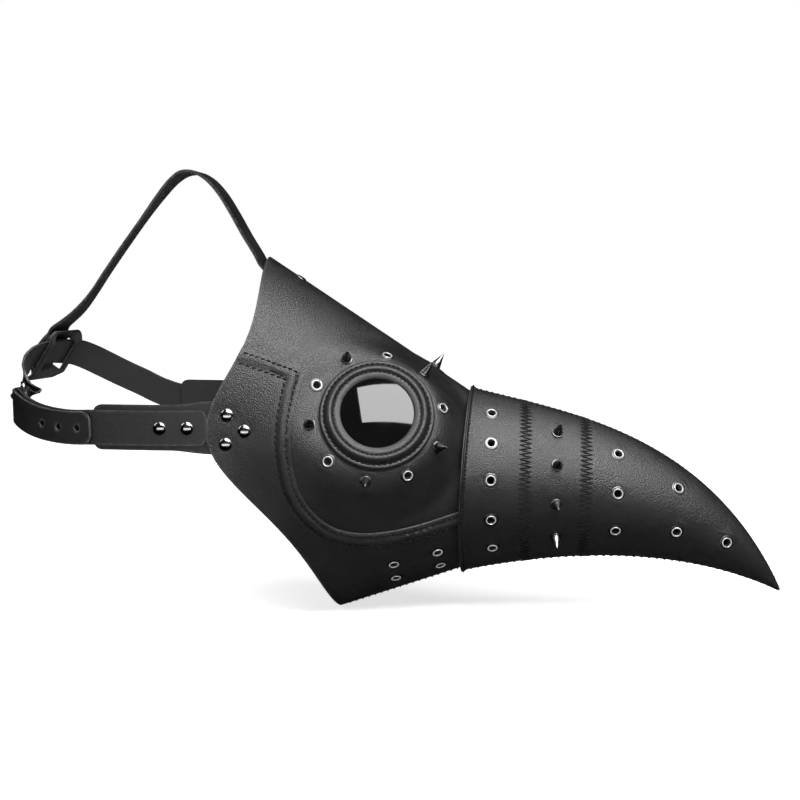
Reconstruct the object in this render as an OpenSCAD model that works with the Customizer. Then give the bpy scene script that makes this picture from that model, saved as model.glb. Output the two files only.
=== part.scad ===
// Plague doctor mask: sewn leather face and beak, padded goggles, studs and head straps.
// Millimetres. X points along the beak, +Y is the wearer's left, Z is up.
// The origin is on the middle plane, midway between the two lenses.

/* [Face] */
// Height of the forehead corner above the lens centres
forehead_z = 91.5; // [80:0.5:105]
// Height of the chin, below the lens centres
chin_z = -134; // [-150:1:-120]
// Half the width of the face at the cheeks
face_half_w = 76; // [66:1:88]
// How far the cheeks reach back past the line from forehead to chin
cheek_reach = 42; // [30:1:52]
// Extra fullness of the leather round the eyes
face_fullness = 9; // [5:0.5:12]

/* [Leather] */
// Thickness of the leather
leather_t = 2; // [1.2:0.1:2.6]
// Width of the laps where one panel covers another
lap_w = 10; // [6:1:14]

/* [Beak] */
// Length of the beak, from its rear edge to its tip
beak_len = 195; // [150:1:240]
// Height of the beak at its rear edge
beak_h = 119; // [112:1:130]
// Half the width of the beak at its rear edge
beak_half_w = 48.4; // [47:0.2:60]

/* [Goggles] */
// Outer diameter of the padded goggle ring
goggle_d = 69; // [58:1:76]
// Height of the padded goggle ring
goggle_h = 7; // [5:0.5:10]
// Diameter of the opening in the goggle ring
lens_view_d = 44; // [36:1:50]
// Diameter of the lens disc
lens_d = 50; // [46:1:54]
// Thickness of the lens
lens_t = 1.5; // [1:0.1:2]
// Radius of the lens dome
lens_dome_r = 100; // [70:5:200]

/* [Studs] */
// Diameter of the hole in an eyelet
eyelet_bore = 5; // [3.5:0.1:6]
// Outer diameter of an eyelet's flange
eyelet_d = 9; // [8:0.1:11]
// Diameter of a cone spike at its base
spike_d = 7; // [5:0.5:9]
// Height of a cone spike
spike_h = 10; // [7:0.5:14]
// Diameter of a rivet's domed cap
rivet_d = 8; // [6:0.5:10]

/* [Straps] */
// Width of the straps
strap_w = 20; // [16:1:23]
// Width of the strap tabs
tab_w = 27; // [24:1:32]
// Thickness of the straps
strap_t = 2; // [1.6:0.1:2.2]
// Diameter of the holes in the billet
billet_hole_d = 4; // [3:0.1:5]

/* [Buckle] */
// Diameter of the buckle's wire
wire_d = 2.8; // [2:0.1:3]
// Distance between the heel bar and the front bar
buckle_len = 18; // [17:0.5:21]
// Diameter of the prong
prong_d = 2.2; // [1.6:0.1:2.4]

/* [Hidden] */

$fn = 48;
gap = 0.3;              // clearance between separate layers
head_lean = 35;         // lean of the rear strap where the keeper rides

// ---- small helpers -------------------------------------------------------
function lerp(a, b, t) = a + (b - a) * t;
function clamp01(x) = min(1, max(0, x));
function ease(x) = let (c = clamp01(x)) c * c * (3 - 2 * c);
function unit(v) = v / norm(v);
function half_section(phi, k) = (1 - k) * sin(phi) + k * pow(sin(phi), 2);
function down(phi) = (1 - cos(phi)) / 2;
function bezier(p, t) = pow(1 - t, 3) * p[0] + 3 * pow(1 - t, 2) * t * p[1]
    + 3 * (1 - t) * t * t * p[2] + pow(t, 3) * p[3];
function steps(a, b, n) = [for (i = [0 : n]) lerp(a, b, i / n)];

// puts children with their +Z along n, standing on p
module stand(p, n) {
    translate(p)
        rotate([0, acos(n.z / norm(n)), atan2(n.y, n.x)])
            children();
}

module left_side() {
    mirror([0, 1, 0])
        children();
}

// closed shell between two grids of points of the same size; cells before column fold_at
// are split along the other diagonal, so that the two sides of a folded piece are mirror images
module shell(outer, inner, fold_at = 0) {
    rows = len(outer);
    cols = len(outer[0]);
    n = rows * cols;
    last = rows - 1;
    side = cols - 1;
    faces = [
        for (i = [0 : last - 1], j = [0 : side - 1])
            let (a = i * cols + j, b = a + 1, c = a + cols + 1, d = a + cols)
                each j < fold_at
                    ? [[d, b, a], [d, c, b], [n + a, n + b, n + d], [n + b, n + c, n + d]]
                    : [[c, b, a], [d, c, a], [n + a, n + b, n + c], [n + a, n + c, n + d]],
        for (j = [0 : side - 1])
            let (a = j, b = j + 1, c = last * cols + j, d = c + 1)
                each [[n + a, a, b], [n + b, n + a, b], [n + d, d, c], [n + c, n + d, c]],
        for (i = [0 : last - 1])
            let (a = i * cols, b = a + cols, c = a + side, d = b + side)
                each [[n + b, b, a], [n + a, n + b, a], [n + c, c, d], [n + d, n + c, d]]
    ];
    polyhedron([for (r = outer) each r, for (r = inner) each r], faces, convexity = 8);
}

// ---- face surface: t runs from the rear edge (0) to inside the beak (1),
// phi from the nose ridge (0) round the wearer's right side to the chin seam (180)
forehead_x = -84;
chin_x = -38;
cheek_mid_z = -17;
cheek_spread = 50;
face_crown = 0.45;
front_top = [56, -0.3];
front_low = [50, -102];
front_half_w = beak_half_w - 2 * leather_t - 4.6;
front_crown = 0.45;

function rear_edge(phi) =
    let (c = down(phi), z = lerp(forehead_z, chin_z, c))
    [lerp(forehead_x, chin_x, c) - cheek_reach * exp(-pow((z - cheek_mid_z) / cheek_spread, 2)),
     -face_half_w * half_section(phi, face_crown), z];
function front_edge(phi) =
    let (c = down(phi))
    [lerp(front_top.x, front_low.x, c), -front_half_w * half_section(phi, front_crown),
     lerp(front_top.y, front_low.y, c)];
function face_loft(t, phi) = lerp(rear_edge(phi), front_edge(phi), t)
    - [0, face_fullness * pow(sin(180 * t) * sin(phi), 2), 0];

// goggle axis: centre, outward normal, and two directions across the lens
eye_turn = 11;
eye_tilt = 27;
eye_n = [sin(eye_turn) * cos(eye_tilt), -cos(eye_turn) * cos(eye_tilt), sin(eye_tilt)];
eye_u = [cos(eye_turn), sin(eye_turn), 0];
eye_v = cross(eye_u, eye_n) * -1;
eye_c = [-6, 4 - face_half_w * 0.66 - face_fullness, -3];
flat_r = goggle_d / 2 - 3.5;
flat_fade = 29;
flat_reach = 40;        // leather further than this from the goggle's plane stays as it is
ridge_keep = 8;         // degrees beside the nose ridge that are left as they are
ridge_fade = 30;

// the leather is drawn flat under the goggle ring
function face_mid(t, phi) =
    let (p = face_loft(t, phi), d = p - eye_c, h = d * eye_n, r = norm(d - h * eye_n),
         w = abs(h) > flat_reach ? 0
             : (1 - ease((r - flat_r) / flat_fade)) * ease((phi - ridge_keep) / ridge_fade))
    p - w * h * eye_n;
function face_one(t, phi) = phi < 0 ? let (p = face_mid(t, -phi)) [p.x, -p.y, p.z] : face_mid(t, phi);
function face_normal(t, phi) =
    unit(cross(face_one(t, phi + 0.5) - face_one(t, phi - 0.5),
               face_one(t + 0.005, phi) - face_one(t - 0.005, phi)));
function face_at(t, phi, off) = face_one(t, phi) + off * face_normal(t, phi);

// where the line along the goggle axis at polar place (r, angle) meets the face
function find_face(target, tp, n) = n == 0 ? tp :
    let (p = face_one(tp.x, tp.y), e = target - p,
         dt = (face_one(tp.x + 0.002, tp.y) - p) / 0.002,
         dp = (face_one(tp.x, tp.y + 0.2) - p) / 0.2,
         a = dt * eye_u, b = dp * eye_u, c = dt * eye_v, d = dp * eye_v,
         eu = e * eye_u, ev = e * eye_v, det = a * d - b * c)
    find_face(target, tp + [(d * eu - b * ev) / det, (a * ev - c * eu) / det], n - 1);
function round_eye(r, angle) =
    find_face(eye_c + r * (cos(angle) * eye_u + sin(angle) * eye_v), [0.58, 64], 8);

// the cheek panel's edge seen from the side, [x, z], closed well outside the leather
cheek_edge = [[-51, 24], [-53.5, 8], [-55.5, -10], [-55.2, -24], [-52.8, -40], [-48.9, -51.7],
    [-42.3, -62], [-31.3, -71], [-17, -74.5], [-1.5, -74], [18, -70.5], [42.3, -63.4]];
cheek_outline = concat([[-200, 36 + 148 * 0.36]], [for (q = cheek_edge) q], [[90, -50], [90, -300], [-200, -300]]);

// both layers of the face share this grid, so that they stay evenly apart
face_ts = steps(0, 1, 18);
phi_step = 7.5;
function face_grid(first, last, off) = [for (t = face_ts) [for (phi = [first : phi_step : last])
    let (p = face_at(t, phi, off)) phi == 180 ? [p.x, 0, p.z] : p]];

// ---- beak surface: t from the rear edge (0) to the tip (1) ----------------
beak_rear_x = 46;
beak_drop = 9;
beak_tip = [beak_rear_x + beak_len, beak_drop - 126];
beak_top_line = [[beak_rear_x, beak_drop], [beak_rear_x + 0.3 * beak_len, beak_drop - 15],
    [beak_rear_x + 0.764 * beak_len, beak_drop - 24], beak_tip];
beak_low_line = [[beak_rear_x - 5, beak_drop - beak_h], [beak_rear_x + 0.25 * beak_len, beak_drop - beak_h + 13],
    [beak_rear_x + 0.66 * beak_len, beak_drop - 95], beak_tip];
beak_crown = 0.35;
beak_slim = beak_half_w / norm(beak_top_line[0] - beak_low_line[0]);
beak_lean = 0.033;      // keeps the rows of studs and seams upright
tip_t = 0.985;
hollow_t = 0.93;

function beak_one(t, phi) =
    let (a = bezier(beak_top_line, t), b = bezier(beak_low_line, t), p = lerp(a, b, down(phi)))
    [p.x, -beak_slim * norm(a - b) * half_section(phi, beak_crown), p.y];
function beak_normal(t, phi) =
    unit(cross(beak_one(t, phi + 0.5) - beak_one(t, phi - 0.5),
               beak_one(t + 0.004, phi) - beak_one(t - 0.004, phi)));
function beak_at(t, phi, off) =
    let (p = beak_one(t, phi) + off * beak_normal(t, phi))
    phi % 180 == 0 ? [p.x, 0, p.z] : p;
function column(t, phi) = t + beak_lean * (phi - 90) / 90;

// one beak panel between two seams; the rear edge is folded, so it is thicker
seam_ts = [0, 0.209, 0.386, tip_t];
beak_phi = steps(0, 180, 14);
fold_extra = 1;
module beak_panel(i, n) {
    ts = steps(0, 1, n);
    function t_at(s, phi) = let (a = i == 0 ? 0 : column(seam_ts[i], phi),
        b = i == 2 ? tip_t : column(seam_ts[i + 1], phi)) lerp(a, b, s);
    function fold(s) = i == 0 ? fold_extra * (1 - ease(s * 4)) : 0;
    outer = [for (s = ts) [for (phi = beak_phi) beak_at(t_at(s, phi), phi, fold(s))]];
    inner = [for (s = ts) [for (phi = beak_phi)
        let (t = t_at(s, phi))
        i == 2 && s == 1 ? let (p = beak_one(t, phi)) [p.x, 0, p.z]
            : beak_at(min(t, hollow_t), phi, -leather_t)]];
    shell(outer, inner);
}

// ---- studs: each list holds [t, phi] places on its surface ---------------
stud_r = goggle_d / 2 + 6;
eye_eyelet_spots = [for (a = [8 : 72 : 296]) round_eye(stud_r, a)];
eye_spike_spots = [for (a = [44 : 72 : 332]) round_eye(stud_r, a)];
chin_spots = [[0.49, 137], [0.46, 150], [0.765, 133.5], [0.76, 148.5]];
beak_eyelet_spots = [for (c = [[0.102, [35, 58, 81.5, 107.5, 132]], [0.476, [44, 80, 115]],
    [0.649, [52, 102]], [0.8, [85]]], phi = c[1]) [column(c[0], phi), phi]];
beak_spike_spots = [for (phi = [41, 67, 95.5, 124.5]) [column(0.302, phi), phi]];
cheek_rivet_spots = [[0.063, 79], [0.137, 82.5], [0.066, 88]];

barrel_d = eyelet_bore + 0.8;
flange_h = 0.9;
seat = 0.4;             // lifts a flat flange off the curve under it
back_seat = 1.65;       // the same behind the leather
post_d = 3;
hole_fit = 0.1;         // how much wider a punched hole is than what goes through it

module on_face(spots, off) {
    for (s = spots)
        stand(face_at(s.x, s.y, off), face_normal(s.x, s.y))
            children();
}
module on_beak(spots, off) {
    for (s = spots)
        stand(beak_at(s.x, s.y, off), beak_normal(s.x, s.y))
            children();
}
module hole(d) {
    cylinder(d = d, h = 6 * leather_t + 6, center = true);
}
module eyelet() {
    inner_r = eyelet_bore / 2;
    rotate_extrude()
        polygon([[inner_r, -leather_t - back_seat - 1], [barrel_d / 2, -leather_t - back_seat - 1],
            [barrel_d / 2, seat], [eyelet_d / 2, seat], [eyelet_d / 2, seat + 0.35 * flange_h],
            [eyelet_d / 2 - 0.8, seat + flange_h], [inner_r + 0.5, seat + flange_h], [inner_r, seat + 0.4]]);
}
module washer() {
    translate([0, 0, -leather_t - back_seat - 0.6])
        difference() {
            cylinder(d = eyelet_d, h = 0.6);
            translate([0, 0, -1])
                cylinder(d = barrel_d + hole_fit, h = 3);
        }
}
module spike() {
    translate([0, 0, seat]) {
        cylinder(d = spike_d, h = 0.14 * spike_h);
        translate([0, 0, 0.14 * spike_h])
            cylinder(d1 = spike_d - 0.4, d2 = 0.8, h = 0.86 * spike_h);
    }
}
module spike_screw() {
    translate([0, 0, -leather_t - back_seat])
        cylinder(d = post_d, h = leather_t + back_seat + seat);
    translate([0, 0, -leather_t - back_seat - 1])
        cylinder(d = spike_d, h = 1);
}
// domed cap, post and flat back; grip is the stack of leather it holds
module rivet(grip) {
    cap_h = rivet_d * 0.3;
    dome_r = (rivet_d * rivet_d / 4 + cap_h * cap_h) / (2 * cap_h);
    intersection() {
        translate([0, 0, seat + cap_h - dome_r])
            sphere(r = dome_r);
        translate([0, 0, seat])
            cylinder(d = rivet_d, h = cap_h + 1);
    }
    translate([0, 0, -grip - seat])
        cylinder(d = post_d, h = grip + 2 * seat + 0.5);
    translate([0, 0, -grip - seat - 1])
        cylinder(d = rivet_d - 1, h = 1);
}

// ---- leather of the face -------------------------------------------------
cheek_off = gap + leather_t;    // outer face of the cheek panel, over the eye panel

// prism across one side of the face, over the cheek panel's outline drawn in by lap
module cheek_side(lap) {
    rotate([90, 0, 0])
        linear_extrude(2 * face_half_w)
            offset(delta = -lap)
                polygon(cheek_outline);
}
module eye_panel() {
    low = 127.5;
    color([0.09, 0.09, 0.1])
    difference() {
        shell(face_grid(-low, low, 0), face_grid(-low, low, -leather_t), low / phi_step);
        for (m = [0, 1])
            mirror([0, m, 0]) {
                cheek_side(lap_w);
                stand(eye_c, eye_n)
                    hole(lens_view_d - 2);
                on_face(eye_eyelet_spots, 0)
                    hole(barrel_d + hole_fit);
                on_face(eye_spike_spots, 0)
                    hole(post_d + hole_fit);
            }
        stand(forehead_rivet_p, forehead_rivet_n)
            hole(post_d + hole_fit);
    }
}
module cheek_panel() {
    top = 45;
    color([0.1, 0.1, 0.11])
    difference() {
        intersection() {
            shell(face_grid(top, 180, cheek_off), face_grid(top, 180, cheek_off - leather_t));
            cheek_side(0);
        }
        on_face(chin_spots, 0)
            hole(barrel_d + hole_fit);
        on_face(cheek_rivet_spots, 0)
            hole(post_d + hole_fit);
    }
}
module beak_base() {
    color([0.1, 0.1, 0.11])
    difference() {
        beak_panel(0, 6);
        on_beak(beak_eyelet_spots, 0)
            hole(barrel_d + hole_fit);
    }
}
module beak_middle() {
    color([0.1, 0.1, 0.11])
    difference() {
        beak_panel(1, 3);
        on_beak(beak_spike_spots, 0)
            hole(post_d + hole_fit);
    }
}
module beak_tip_part() {
    color([0.1, 0.1, 0.11])
    difference() {
        beak_panel(2, 11);
        on_beak(beak_eyelet_spots, 0)
            hole(barrel_d + hole_fit);
    }
}

// ---- goggles -------------------------------------------------------------
lens_seat = gap + 0.3;
module goggle_ring() {
    out_r = goggle_d / 2;
    in_r = lens_view_d / 2;
    pocket_r = lens_d / 2 + gap;
    pocket_h = lens_seat + lens_t + 2.2;
    color([0.08, 0.08, 0.09])
    stand(eye_c, eye_n)
        difference() {
            union() {
                translate([0, 0, gap])
                    cylinder(r = out_r, h = goggle_h - 3);
                rotate_extrude()
                    translate([(out_r + in_r) / 2, goggle_h - 3 + gap])
                        intersection() {
                            scale([(out_r - in_r) / 2 / 3, 1])
                                circle(r = 3, $fn = 40);
                            translate([-50, 0])
                                square([100, 10]);
                        }
            }
            translate([0, 0, -1])
                cylinder(r = in_r, h = goggle_h + 5);
            translate([0, 0, -1])
                cylinder(r = pocket_r, h = pocket_h + 1);
        }
}
module lens() {
    edge_r = lens_d / 2;
    sag = lens_dome_r - sqrt(lens_dome_r * lens_dome_r - edge_r * edge_r);
    color([0.2, 0.21, 0.22])
    stand(eye_c, eye_n)
        translate([0, 0, lens_seat + sag - lens_dome_r])
            intersection() {
                difference() {
                    sphere(r = lens_dome_r + lens_t, $fn = 96);
                    sphere(r = lens_dome_r, $fn = 96);
                }
                translate([0, 0, lens_dome_r - sag - 1])
                    cylinder(r = edge_r, h = sag + 2 * lens_t + 2);
            }
}
module lens_retainer() {
    color([0.15, 0.15, 0.16])
    stand(eye_c, eye_n)
        translate([0, 0, -leather_t - 0.6 - 1.4])
            difference() {
                cylinder(d = goggle_d - 10, h = 1.4);
                translate([0, 0, -1])
                    cylinder(d = lens_view_d + 1, h = 4);
            }
}

// ---- straps: ribbons swept along hand-chosen points -----------------------
// each point is [x, y, z, lean]; lean turns the ribbon's lower edge outwards
function ribbon_dir(p, i) =
    let (a = p[max(i - 1, 0)], b = p[min(i + 1, len(p) - 1)])
    unit([b.x - a.x, b.y - a.y, b.z - a.z]);
// side is 1 where the outside is on the right of the route's direction, else -1
function ribbon_out(p, i, side) =
    let (d = ribbon_dir(p, i), o = side * unit([d.y, -d.x, 0]), c = unit(cross(o, d)), up = c.z > 0 ? c : -c)
    cos(p[i][3]) * o + sin(p[i][3]) * up;
function ribbon_up(p, i, side) =
    let (w = unit(cross(ribbon_out(p, i, side), ribbon_dir(p, i)))) w.z < 0 ? -w : w;
function xyz(q) = [q.x, q.y, q.z];
// the route's point i, moved outwards
function moved_out(p, i, side, off) = concat(xyz(p[i]) + off * ribbon_out(p, i, side), [p[i][3]]);

module ribbon(p, w, t, side) {
    n = len(p);
    rings = [for (i = [0 : n - 1])
        let (o = ribbon_out(p, i, side) * t / 2, u = ribbon_up(p, i, side) * w[i] / 2, c = xyz(p[i]))
        [c + o - u, c + o + u, c - o + u, c - o - u]];
    faces = [
        for (i = [0 : n - 2], k = [0 : 3])
            let (a = 4 * i + k, b = 4 * i + (k + 1) % 4)
                each [[a, b, b + 4], [a, b + 4, a + 4]],
        [3, 2, 1], [3, 1, 0],
        [4 * n - 4, 4 * n - 3, 4 * n - 2], [4 * n - 4, 4 * n - 2, 4 * n - 1]
    ];
    polyhedron([for (r = rings) each r], side < 0 ? [for (f = faces) [f[2], f[1], f[0]]] : faces, convexity = 6);
}

// heel bar of the buckle: place, direction towards the front bar, outward normal
heel = [-233.5, -46, -1];
heel_turn = 118.5;
heel_u = [cos(heel_turn), sin(heel_turn), 0];
heel_n = [-sin(heel_turn), cos(heel_turn), 0];
function by_heel(u, n) = heel + u * heel_u + n * heel_n;
bar_r = wire_d / 2;
fold_in = bar_r + 0.4;
fold_mid = fold_in + strap_t / 2;
fold_out = fold_in + strap_t;
ride = strap_t + 0.7;   // distance between the middles of two straps that lie on each other

// strap tab, from under the cheek panel to its rounded rear end
tab_route = [[-76, -68.6, -10, 6], [-90, -71.1, -10, 6], [-105, -73.9, -10, 5], [-109, -74.6, -10, 4.5],
    [-116, -75.6, -10, 3.5], [-132, -77.2, -10, 1], [-150, -78, -10, 0], [-166, -78.2, -10, 0], [-173, -78, -10, 0]];
rivet_stations = [4, 5];
layer = strap_t + 0.45; // distance between the middles of strap and tab
belt_front = [for (i = [2 : 8]) moved_out(tab_route, i, -1, layer)];
// middle of the buckle strap, from its front end to the buckle's fold
belt_route = concat(belt_front, [[-188, -78.2, -10.5, 0], [-202, -74.4, -9.5, 0],
    [-214, -69.2, -7.5, 0], [-224, -62.9, -4.5, 0], concat(by_heel(-9, fold_mid), [0])]);
// the strap's end is folded back round the heel bar
fold_route = concat([for (a = [90 : -30 : -90]) concat(by_heel(fold_mid * cos(a), fold_mid * sin(a)), [0])],
    [concat(by_heel(-6, -fold_mid + 0.6), [0]), concat(by_heel(-12, -fold_mid + 2.2), [0]),
     concat(by_heel(-18, -0.6), [0])]);
belt_ends = [0.55, 0.95];
function strap_widths(p, first, last) = [for (i = [0 : len(p) - 1])
    strap_w * (i < len(first) ? first[i] : len(p) - 1 - i < len(last) ? last[len(p) - 1 - i] : 1)];

// left strap: along the left tab, round the back, through the keeper and the buckle,
// then outside the buckle strap to its free end
keep_a = [-234.7, 35, 26];
keep_b = [-242.8, -16.5, 26];
far_route = concat([for (q = belt_front) [q.x, -q.y, q.z, q[3]]],
    [[-188, 78, -5.5, 4], [-202, 73.8, 2, 10], [-214, 67, 9, 17], [-223.5, 57.8, 16, 24], [-230.2, 47, 22, 31]]);
droop_route = [[-243.9, -20.6, 21.5, 27], [-244, -23.5, 14.5, 15], [-242.7, -26, 6.5, 5]];
buckle_pass = [[20.5, -bar_r - strap_t / 2 - 0.5], [15.5, -bar_r - strap_t / 2 - 0.3],
    [2.5, fold_out + strap_t / 2 + 0.2], [0, fold_out + strap_t / 2 + gap + 0.2],
    [-9, fold_mid + ride + 0.5]];
free_route = [for (i = [10 : -1 : 6]) moved_out(belt_route, i, -1, ride)];
billet_route = concat(far_route, [concat(keep_a, [head_lean]), concat(keep_b, [head_lean])], droop_route,
    [for (q = buckle_pass) concat(by_heel(q.x, q.y), [0])], free_route);

// the middle of the billet's free stretch i steps back from its end, and its outward direction
function billet_spot(i) = let (n = len(billet_route) - 1 - i)
    (xyz(billet_route[n]) + xyz(billet_route[n - 1])) / 2;
function billet_out(i) = let (n = len(billet_route) - 1 - i, d = xyz(billet_route[n]) - xyz(billet_route[n - 1]))
    unit([d.y, -d.x, 0]);
module at_strap_rivets(off) {
    for (i = rivet_stations)
        stand(xyz(moved_out(tab_route, i, -1, off)), ribbon_out(tab_route, i, -1))
            children();
}

module strap_tab() {
    ends = [0.7, 1, 1, 1, 1, 1, 1, 0.95, 0.62];
    color([0.1, 0.1, 0.11])
    difference() {
        ribbon(tab_route, [for (e = ends) e * tab_w], strap_t, -1);
        on_face(cheek_rivet_spots, 0)
            hole(post_d + hole_fit);
        at_strap_rivets(0)
            hole(post_d + hole_fit);
    }
}
module buckle_strap() {
    route = concat(belt_route, fold_route);
    color([0.1, 0.1, 0.11])
    difference() {
        ribbon(route, strap_widths(route, belt_ends, [0.8]), strap_t, -1);
        translate(heel)
            rotate([0, 0, heel_turn])
                translate([-4.5, -8, -prong_slot / 2])
                    cube([12, 16, prong_slot]);
        at_strap_rivets(0)
            hole(post_d + hole_fit);
    }
}
module billet_strap() {
    pass_a = by_heel(buckle_pass[1].x, buckle_pass[1].y);
    pass_b = by_heel(buckle_pass[2].x, buckle_pass[2].y);
    pass_d = unit(pass_b - pass_a);
    pass_n = unit(cross(pass_d, [0, 0, 1]));
    color([0.1, 0.1, 0.11])
    difference() {
        ribbon(billet_route, strap_widths(billet_route, belt_ends, [0.5, 0.95]), strap_t, 1);
        for (k = [0, 1, 2])
            stand(billet_spot(k + 1), billet_out(k + 1))
                cylinder(d = billet_hole_d, h = strap_t + 1, center = true);
        // the engaged hole, drawn long by the prong
        hull()
            for (s = [4.6, 13.6])
                translate(pass_a + s * pass_d)
                    stand([0, 0, 0], pass_n)
                        cylinder(d = prong_d + 1, h = strap_t + 4, center = true);
        left_side()
            at_strap_rivets(0)
                hole(post_d + hole_fit);
    }
}
module strap_rivets() {
    color([0.75, 0.75, 0.78])
        at_strap_rivets(layer + strap_t / 2)
            rivet(layer + strap_t);
}

// ---- buckle --------------------------------------------------------------
prong_slot = 4.4;
frame_half = strap_w / 2 + 0.6 + bar_r;
corner_r = 4;
module buckle_frame() {
    color([0.8, 0.8, 0.82])
    translate(heel)
        rotate([0, 0, heel_turn]) {
            translate([0, 0, -frame_half])
                cylinder(d = wire_d, h = 2 * frame_half);
            translate([buckle_len, 0, -frame_half + corner_r])
                cylinder(d = wire_d, h = 2 * (frame_half - corner_r));
            for (m = [0, 1])
                mirror([0, 0, m]) {
                    translate([0, 0, frame_half])
                        rotate([0, 90, 0])
                            cylinder(d = wire_d, h = buckle_len - corner_r);
                    translate([0, 0, frame_half])
                        sphere(d = wire_d);
                    translate([buckle_len - corner_r, 0, frame_half - corner_r])
                        rotate([90, 0, 0])
                            rotate_extrude(angle = 90)
                                translate([corner_r, 0])
                                    circle(d = wire_d, $fn = 32);
                }
        }
}
module buckle_prong() {
    loop_in = bar_r + 0.25;
    loop_out = loop_in + 1.3;
    rest_h = bar_r + prong_d / 2 + 0.15;
    reach = buckle_len + 3;
    lift = atan(rest_h / buckle_len);
    color([0.8, 0.8, 0.82])
    translate(heel)
        rotate([0, 0, heel_turn])
            difference() {
                union() {
                    translate([0, 0, -1.6])
                        cylinder(r = loop_out, h = 3.2);
                    rotate([0, 0, lift])
                        rotate([0, 90, 0])
                            cylinder(d = prong_d, h = reach);
                    rotate([0, 0, lift])
                        translate([reach, 0, 0])
                            sphere(d = prong_d);
                }
                translate([0, 0, -5])
                    cylinder(r = loop_in, h = 10);
            }
}

// ---- top strap and keeper ------------------------------------------------
ridge_dir = unit([front_top.x - forehead_x, 0, front_top.y - forehead_z]);
ridge_up = [-ridge_dir.z, 0, ridge_dir.x];
forehead_rivet_p = [forehead_x, 0, forehead_z] + 24 * ridge_dir;
forehead_rivet_n = ridge_up;
under_fold = leather_t + 5.2;
keeper_c = lerp(keep_a, keep_b, 0.5);
keeper_dir = unit(keep_b - keep_a);
keeper_turn = atan2(keeper_dir.y, keeper_dir.x);
keeper_len = 36;
keeper_high = 40;
slit_half = strap_w / 2 + 1.5;
bridge_half = 11;
keeper_rise = strap_t / 2 + 0.6;    // from the strap's middle to the keeper's near face

// route of the top strap in the middle plane, drifting to the keeper: [x, y, z]
tuck = [forehead_x, 0, forehead_z] - under_fold * ridge_up;
top_route = [tuck + 34 * ridge_dir, tuck + 17 * ridge_dir, tuck, [-91.5, 0, 92], [-99.5, 0, 105],
    [-108, 0, 120], [-116, 0, 132.5], [-124, 0, 141], [-132, 0, 145.5], [-140, 0, 145.5], [-148, 0.3, 140.5],
    [-158, 0.8, 130], [-170, 1.6, 115.5], [-183, 2.8, 99.5], [-196, 4.2, 83], [-208, 5.8, 67.5],
    [-217.5, 7.4, 55.5], [-222, 8, 50]];
module top_strap() {
    n = len(top_route);
    rings = [for (i = [0 : n - 1])
        let (a = top_route[max(i - 1, 0)], b = top_route[min(i + 1, n - 1)], d = unit(b - a),
             up = unit([-d.z, 0, d.x]) * strap_t / 2, w = [0, strap_w / 2 * (i == 0 ? 0.7 : 1), 0], c = top_route[i])
        [c + up - w, c + up + w, c - up + w, c - up - w]];
    faces = [
        for (i = [0 : n - 2], k = [0 : 3])
            let (a = 4 * i + k, b = 4 * i + (k + 1) % 4)
                each [[a, b + 4, b], [a, a + 4, b + 4]],
        [1, 2, 3], [0, 1, 3],
        [4 * n - 2, 4 * n - 3, 4 * n - 4], [4 * n - 1, 4 * n - 2, 4 * n - 4]
    ];
    color([0.1, 0.1, 0.11])
    difference() {
        polyhedron([for (r = rings) each r], faces, convexity = 6);
        stand(forehead_rivet_p, forehead_rivet_n)
            cylinder(d = post_d + hole_fit, h = 30, center = true);
    }
}
module forehead_rivet() {
    color([0.75, 0.75, 0.78])
        stand(forehead_rivet_p, forehead_rivet_n)
            rivet(under_fold + strap_t / 2);
}
module strap_keeper() {
    rim = (keeper_len / 2 - bridge_half) / 2;
    color([0.1, 0.1, 0.11])
    translate(keeper_c)
        rotate([-head_lean, 0, keeper_turn]) {
            translate([-bridge_half, -keeper_rise - leather_t, -keeper_high / 2])
                cube([2 * bridge_half, leather_t, keeper_high]);
            for (m = [0, 1])
                mirror([m, 0, 0]) {
                    translate([keeper_len / 2 - rim, keeper_rise, -keeper_high / 2 + 3])
                        cube([rim, leather_t, keeper_high - 6]);
                    for (k = [0, 1])
                        mirror([0, 0, k])
                            translate([bridge_half - 1.5, -keeper_rise - leather_t, slit_half])
                                cube([keeper_len / 2 - bridge_half + 1.5, 2 * keeper_rise + 2 * leather_t,
                                    keeper_high / 2 - 3 - slit_half]);
                }
        }
}

// ---- hardware groups -----------------------------------------------------
module eye_eyelets() {
    color([0.8, 0.8, 0.82])
        on_face(eye_eyelet_spots, 0)
            eyelet();
}
module beak_eyelets() {
    color([0.8, 0.8, 0.82])
        on_beak(beak_eyelet_spots, 0)
            eyelet();
}
module chin_eyelets() {
    color([0.8, 0.8, 0.82])
        on_face(chin_spots, cheek_off)
            eyelet();
}
module eyelet_washers() {
    color([0.6, 0.6, 0.62]) {
        on_face(eye_eyelet_spots, 0)
            washer();
        on_face(chin_spots, cheek_off)
            washer();
        on_beak(beak_eyelet_spots, 0)
            washer();
    }
}
module eye_spikes() {
    color([0.3, 0.3, 0.32])
        on_face(eye_spike_spots, 0)
            spike();
}
module beak_spikes() {
    color([0.3, 0.3, 0.32])
        on_beak(beak_spike_spots, 0)
            spike();
}
module spike_screws() {
    color([0.5, 0.5, 0.52]) {
        on_face(eye_spike_spots, 0)
            spike_screw();
        on_beak(beak_spike_spots, 0)
            spike_screw();
    }
}
module cheek_rivets() {
    color([0.75, 0.75, 0.78])
        on_face(cheek_rivet_spots, cheek_off)
            rivet(7);
}

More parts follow.
